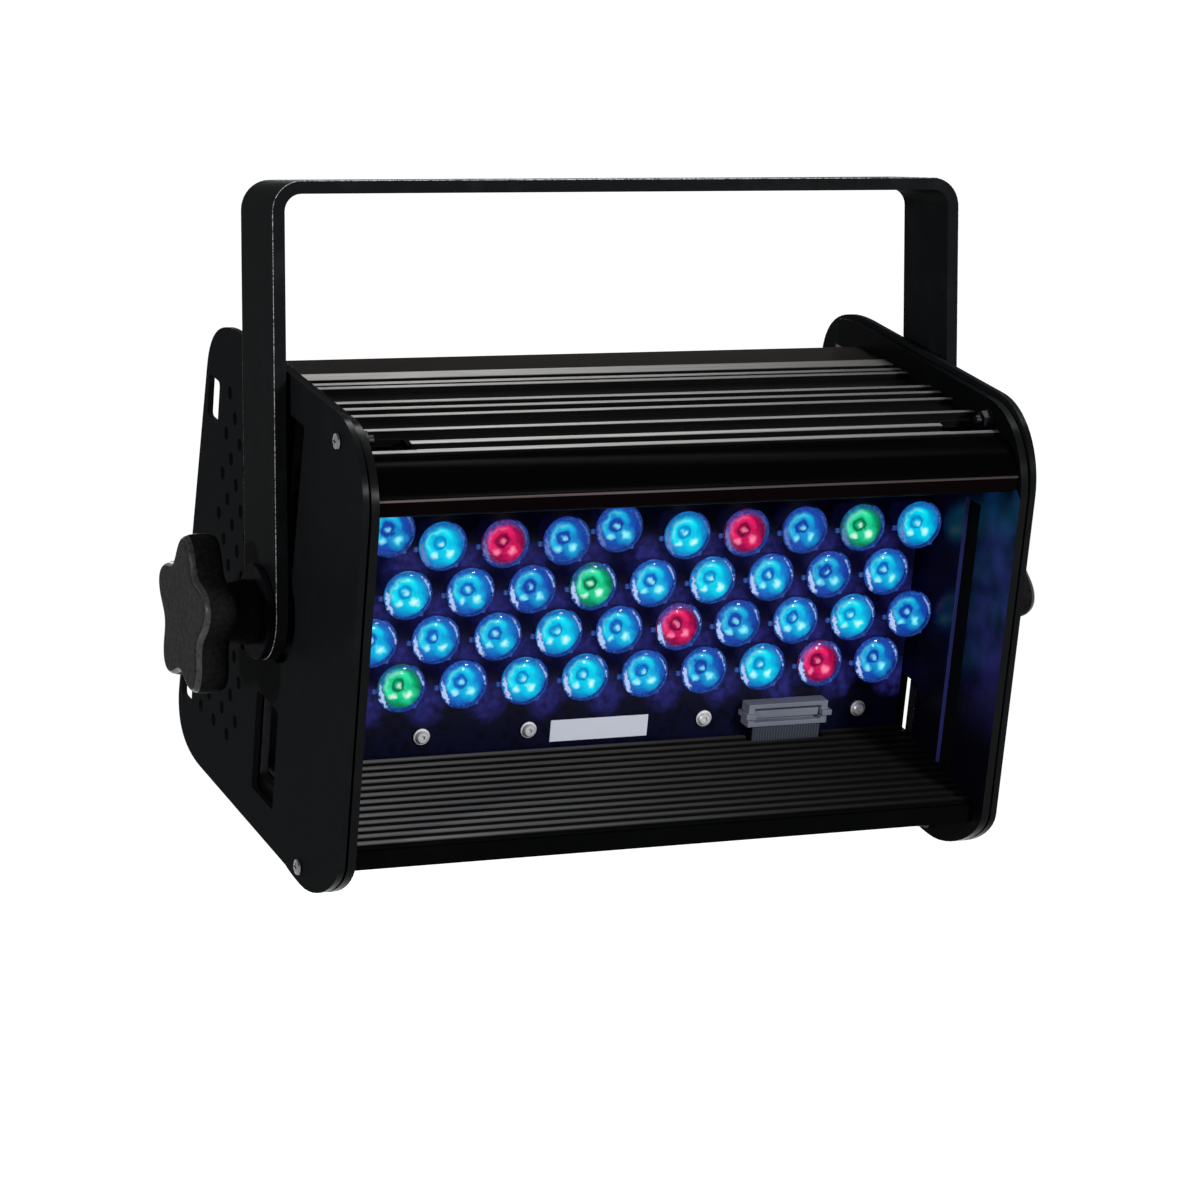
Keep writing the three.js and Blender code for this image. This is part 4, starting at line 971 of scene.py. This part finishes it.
# An optic's lathe profiles: radius, and distance from the board's face
SKIRT = [
    (0, 0.02), (4.6, 0.02), (4.8, 2.2), (6.6, 6.5), (8.4, 11), (9.8, 15.2), (10.3, 17.2), (10.5, 18), (10.5, 18.6),
    (10.3, 18.8), (10.0, 18.7), (9.9, 18.0), (9.75, 17.4), (9.5, 16.9), (0, 16.5), (0, 0.02),
]
LENS = [
    (0, 16.6), (9.35, 17.0), (9.6, 17.6), (9.2, 17.75), (7.9, 17.3), (6.6, 17.2), (5.6, 17.7), (4.8, 18.0),
    (4.0, 17.9), (3.3, 17.2), (2.4, 17.0), (1.6, 17.5), (0.8, 17.9), (0, 18.0),
]
DOME = [
    (0, 18.85), (10.3, 18.85), (10.35, 19.1), (9.9, 19.6), (8.4, 20.4), (6.2, 21.0), (3.6, 21.4), (1.6, 21.55),
    (0, 21.6),
]
TAB_ANGLES, TAB_REACH, TAB_HALF = (188, 308), 10.7, 1


def planned(piece):
    """Lays the front faces out on the piece's own plan, edge to edge."""
    mesh = editing(piece, "FACE")
    for face in mesh.faces:
        face.select_set(face.normal.y < -0.35)
    bmesh.update_edit_mesh(piece.data)
    bpy.ops.uv.cube_project(scale_to_bounds=True)
    done()
    return piece


def one_optic():
    """A moulded collimator: skirt and rim, the lens within it, and the domed front."""
    centre = spot(0, BOARD_FACE, 0)
    skirt = turned(SKIRT, centre, AHEAD, 28)
    skirt.data.materials.append(skirt_finish)
    lens = planned(turned(LENS, centre, AHEAD, 28))
    lens.data.materials.append(lens_finishes["blue"])
    dome = planned(turned(DOME, centre, AHEAD, 32))
    faced(dome, (dome_finish, inside_finish), lambda normal, middle: int(normal.y > 0.5))
    tabs = []
    for angle in TAB_ANGLES:
        turn = math.radians(angle)
        x, z = TAB_REACH * math.cos(turn), TAB_REACH * math.sin(turn)
        tab = slab((x - TAB_HALF, x + TAB_HALF), (BOARD_FACE + 16.8, BOARD_FACE + 18.2),
                   (z - TAB_HALF, z + TAB_HALF))
        softened(tab, 0.45, 2)
        tab.data.materials.append(tab_finish)
        tabs.append(tab)
    return joined(skirt, lens, dome, *tabs)


COLOURS = (
    "blue cyan red blue blue cyan red blue green cyan",
    "cyan cyan sky blue green sky cyan sky blue sky",
    "sky sky sky cyan sky red blue sky cyan blue",
    "red green sky cyan cyan sky blue cyan red blue",
)
# How far two optics of the top row stand out of line, across and up
STRAYS = {(0, 0): (4.2, 6.6), (0, 4): (-4.0, 4.3)}


def optics():
    master = one_optic()
    groups = {}
    for row, (up, hues) in enumerate(zip(ROWS, COLOURS)):
        for column, hue in enumerate(hues.split()):
            take(master)
            bpy.ops.object.duplicate()
            copy = bpy.context.object
            aside, above = STRAYS.get((row, column), (0, 0))
            x = (column - (COLUMNS - 1) / 2) * PITCH + row_shift(row)
            copy.location = spot(x + aside, 0, up + above)
            for holder in copy.material_slots:
                if holder.material == lens_finishes["blue"]:
                    holder.material = lens_finishes[hue]
                # The top row takes the dome with dimmed painted highlights, as painted shade under the hood
                elif holder.material == dome_finish and row == 0:
                    holder.material = shaded_dome_finish
            groups.setdefault(hue, []).append(copy)
    bpy.data.objects.remove(master)
    for hue, copies in groups.items():
        for copy in copies:
            take(copy)
            bpy.ops.object.transform_apply()
        whole = joined(*copies) if len(copies) > 1 else copies[0]
        seated(whole, f"optics_{hue}", None, "board", "led_board", smooth=30)


# Knobs, washers and screws

# A knob's cage, which its smooth surface stays within: the radii from lobe to valley and back,
# and the first lobe's turn in degrees, on the right not the solid's but as in the photograph
LOBES, LOBE_CAGE, FIRST_LOBE = 5, (35.0, 30.0, 21.6, 30.0), {"left": -8, "right": -35}
KNOB_GAP, HUB_LENGTH, HUB_TENON, STAR_THICKNESS, STAR_BORDERS = 3.6, 15.6, 2.4, 14, (3.6, 6)
# Lathe profiles: radius, and distance outwards from the face that each is seated on
WASHER = [(PIVOT_HOLE, 0), (18.5, 0), (19, 0.5), (19, 2.5), (18.5, 3), (PIVOT_HOLE, 3), (PIVOT_HOLE, 0)]
PANEL_SCREW = [(0, -14), (1.9, -14), (1.9, 0), (3.2, 0), (3.3, 0.3), (3.0, 1.0), (2.2, 1.35), (0, 1.4)]
BOARD_SCREW = [
    (0, -1.9), (1.4, -1.9), (1.4, 0), (3.4, 0), (3.5, 0.2), (3.5, 0.6), (2.7, 0.7), (2.6, 1.6), (2.1, 2.15), (0, 2.2),
]
CROSS_LENGTH, CROSS_WIDTH, CROSS_FLOOR, KEY_RADIUS = 3.4, 0.7, 0.7, 1.1


def star_knob(side, word):
    near = YOKE_WIDTH / 2 + KNOB_GAP
    base = near + HUB_LENGTH
    out = Vector((side, 0, 0))
    places = []
    steps = LOBES * len(LOBE_CAGE)
    for step in range(steps):
        angle = math.radians(FIRST_LOBE[word]) + 2 * math.pi * step / steps
        radius = LOBE_CAGE[step % len(LOBE_CAGE)]
        places.append(PIVOT + Vector((side * base, radius * math.sin(angle), radius * math.cos(angle))) * MM)
    star = drawn(places, out * STAR_THICKNESS * MM)
    mesh = editing(star, "FACE")
    for face in mesh.faces:
        face.select_set(abs(face.normal.x) > 0.9)
    bmesh.update_edit_mesh(star.data)
    for border in STAR_BORDERS:
        bpy.ops.mesh.inset(thickness=border * MM)
    done()
    modified(star, "SUBSURF", levels=3, render_levels=3)
    hub_end = HUB_LENGTH + HUB_TENON
    hub = turned([(0, 0), (12.4, 0), (13, 0.6), (13, 4), (12, 9), (11.6, HUB_LENGTH), (11.6, hub_end), (0, hub_end)],
                 PIVOT + out * near * MM, out, 48)
    knob = joined(star, hub)

    def part_of_knob(normal, middle):
        # Hub and sides take the plastic painted darker as shade
        if side * middle.x < base + 5:
            return 0
        return 2 if side * normal.x > 0.9 else int(side * normal.x > 0.3)

    faced(knob, (knob_flank_shaded, knob_ridge, knob_face), part_of_knob)
    seated(knob, f"star_knob_{word}", None, "knob_plastic", f"clamp_knob_{word}", body=f"knob_{word}", smooth=40)


def pressure_washer(side, word):
    out = Vector((side, 0, 0))
    centre = PIVOT + out * (YOKE_WIDTH / 2 + CLEARANCE) * MM
    ring = turned(WASHER, centre, out, 56)
    seated(ring, f"pressure_washer_{word}", spacer_plastic, "black_plastic", f"clamp_washer_{word}",
           body=f"washer_{word}")


def panel_screw(side, word, level, place):
    out = Vector((side, 0, 0))
    base = PANEL_FACE + CLEARANCE
    centre = spot(side * base, *place)
    head = turned(PANEL_SCREW, centre, out, 28)
    for size in ((CROSS_LENGTH, CROSS_WIDTH), (CROSS_WIDTH, CROSS_LENGTH)):
        forward, up = ((middle - extent / 2, middle + extent / 2) for middle, extent in zip(place, size))
        cut(head, slab(sided(side, base + CROSS_FLOOR, base + 2), forward, up))
    # The shank inside the panel is painted dark as shade; it is the same plated steel as the head
    faced(head, (steel_plate, dark_steel), lambda normal, middle: int(side * middle.x < PANEL_FACE))
    seated(head, f"cross_screw_{level}_{word}", None, "zinc_steel", f"panel_screw_{level}_{word}")


def board_screws():
    for index, x in enumerate(BOARD_SCREWS):
        centre = spot(x, BOARD_FACE + CLEARANCE, BOARD_SCREW_UP)
        head = turned(BOARD_SCREW, centre, AHEAD, 24)
        cut(head, rod(KEY_RADIUS, centre + AHEAD * 2.4 * MM, "y", 2.4, 6))
        seated(head, f"washer_screw_{index + 1}", bright_zinc, "zinc_steel", f"board_screw_{index + 1}")


def ribbon_plug():
    """A box header with its two latches, and the strip of contacts in it."""
    rear = BOARD_FACE + CLEARANCE

    def block(start, end, back, front, low, high):
        """Across from PLUG_X, forward from the board, and up from the plug's top."""
        across = sorted((PLUG_X + start, PLUG_X + end))
        return slab(across, (rear + back, rear + front), (PLUG_TOP + low, PLUG_TOP + high))

    shell = block(-PLUG_HALF, PLUG_HALF, 0, 7, -10, 0)
    cut(shell, block(-POCKET_HALF, POCKET_HALF, 3.5, 9, -8, -2))
    for side, _ in SIDES:
        cut(shell, block(side * POCKET_HALF, side * LATCH_END, 0, 8.5, -6.2, -3.8), "UNION")
    strip = block(-STRIP_HALF, STRIP_HALF, 2, 5.6, -6.6, -3.4)
    shell = joined(softened(shell, 0.3, 2), softened(strip, 0.2, 2))
    seated(shell, "ribbon_plug", connector_nylon_painted_shade, "pale_nylon", "ribbon_connector")


yoke_bar()
for side, word in SIDES:
    side_skin(side, word)
    end_wall(side, word)
    star_knob(side, word)
    pressure_washer(side, word)
    for level, place in PANEL_SCREWS.items():
        panel_screw(side, word, level, place)
ribbed_deck()
curved_hood()
ribbed_baffles()
led_plate()
optics()
board_screws()
ribbon_plug()

# The solids that show as they are get their finish here
KEPT = {
    spacer_plastic: [f"pivot_spacer_{word}" for _, word in SIDES],
    dark_steel: [f"{kind}_{word}" for kind in ("pivot_stud", "panel_nut_top", "panel_nut_bottom")
                 for _, word in SIDES],
    end_coat: ("bottom_cover",),
    cover_skin: ("rear_cover",),
    milled_metal_painted_dark: ("chassis_tray", "heat_sink", "power_supply"),
    ribbon_skin: ("ribbon_cable",),
    driver_mask: ("driver_board", "control_board"),
    display_glass: ("display",),
    button_plastic: [f"push_button_{number}" for number in (1, 2, 3, 4)],
    socket_plastic: ("power_inlet", "power_outlet", "data_input", "data_output"),
}
for finish, names in KEPT.items():
    for name in names:
        node = frame["nodes"][name]
        for holder in node.material_slots:
            holder.material = finish
        if not node.material_slots:
            node.data.materials.append(finish)


# Camera, floor and light

# Found by fitting the photograph: place in metres, angles in radians, focal length in its pixels
CAMERA_PLACE, CAMERA_YAW, CAMERA_PITCH = (-0.6473, -1.47004, 0.01864), 0.41243, 0.11858
FOCAL_PIXELS, PHOTO_PIXELS, SENSOR = 3924.88, 1200, 36
FLOOR_LEVEL, ROOM_RADIUS, BACKDROP_HEIGHT = -0.62, 5, 2.3
WORLD_GREY = (0.2, 0.2, 0.21, 1)


def camera():
    data = bpy.data.cameras.new("photo_camera")
    data.sensor_width = SENSOR
    data.lens = FOCAL_PIXELS / PHOTO_PIXELS * SENSOR
    data.clip_end = 50
    holder = bpy.data.objects.new("photo_camera", data)
    holder.location = CAMERA_PLACE
    holder.rotation_euler = (math.pi / 2 - CAMERA_PITCH, 0, -CAMERA_YAW)
    bpy.context.scene.collection.objects.link(holder)
    bpy.context.scene.camera = holder


def white_paper(name, glow):
    """White to the camera, in gloss and through clear parts; the object's shadow still falls on it."""
    paper = Finish(name, Base_Color=(0.3, 0.3, 0.3), Roughness=0.9, Specular_IOR_Level=0.0)
    path = paper.tree.nodes.new("ShaderNodeLightPath")
    camera_ray, glossy_ray, clear_ray = (
        Field(paper, path.outputs[f"Is {kind} Ray"]) for kind in ("Camera", "Glossy", "Transmission"))
    seen = camera_ray + glossy_ray + clear_ray
    paper.set(Emission_Strength=1.0, Emission_Color=paper.mixed(seen, shade(0), shade(glow)))
    return paper.material


def floor_and_backdrop():
    """A round of white paper: the floor, and a low wall all about it."""
    clear()
    bpy.ops.mesh.primitive_circle_add(
        vertices=96, radius=ROOM_RADIUS, fill_type="NGON", location=(0, 0, FLOOR_LEVEL))
    ground = bpy.context.object
    ground.name = "floor"
    clear()
    bpy.ops.mesh.primitive_cylinder_add(
        vertices=96, radius=ROOM_RADIUS, depth=BACKDROP_HEIGHT, end_fill_type="NOTHING",
        location=(0, 0, FLOOR_LEVEL + BACKDROP_HEIGHT / 2))
    wall = bpy.context.object
    wall.name = "backdrop"
    for piece, glow in ((ground, 0.97), (wall, 1.0)):
        take(piece)
        bpy.ops.object.transform_apply()
        piece.data.materials.append(white_paper(f"{piece.name}_paper", glow))


def lamp(name, place, size, power):
    """A flat lamp that faces the pivot line's middle."""
    data = bpy.data.lights.new(name, "AREA")
    data.shape = "RECTANGLE"
    data.size, data.size_y = size
    data.energy = power
    holder = bpy.data.objects.new(name, data)
    holder.location = place
    holder.rotation_euler = (Vector(place) - PIVOT).to_track_quat("Z", "Y").to_euler()
    bpy.context.scene.collection.objects.link(holder)


def world():
    sky = bpy.data.worlds.new("studio")
    sky.use_nodes = True
    sky.node_tree.nodes["Background"].inputs[0].default_value = WORLD_GREY
    bpy.context.scene.world = sky


camera()
floor_and_backdrop()
world()
lamp("key_lamp", (-1.46, -0.8, 0.14), (0.12, 0.12), 10)
lamp("overhead_lamp", (0.55, 0.2, 1.15), (1.3, 0.22), 16)
lamp("rear_lamp", (0.5, 1.7, -0.12), (0.8, 0.8), 14)
lamp("front_lamp", (0.62, -1.65, 0.3), (0.22, 0.22), 24)
bpy.context.scene.view_settings.view_transform = "Standard"
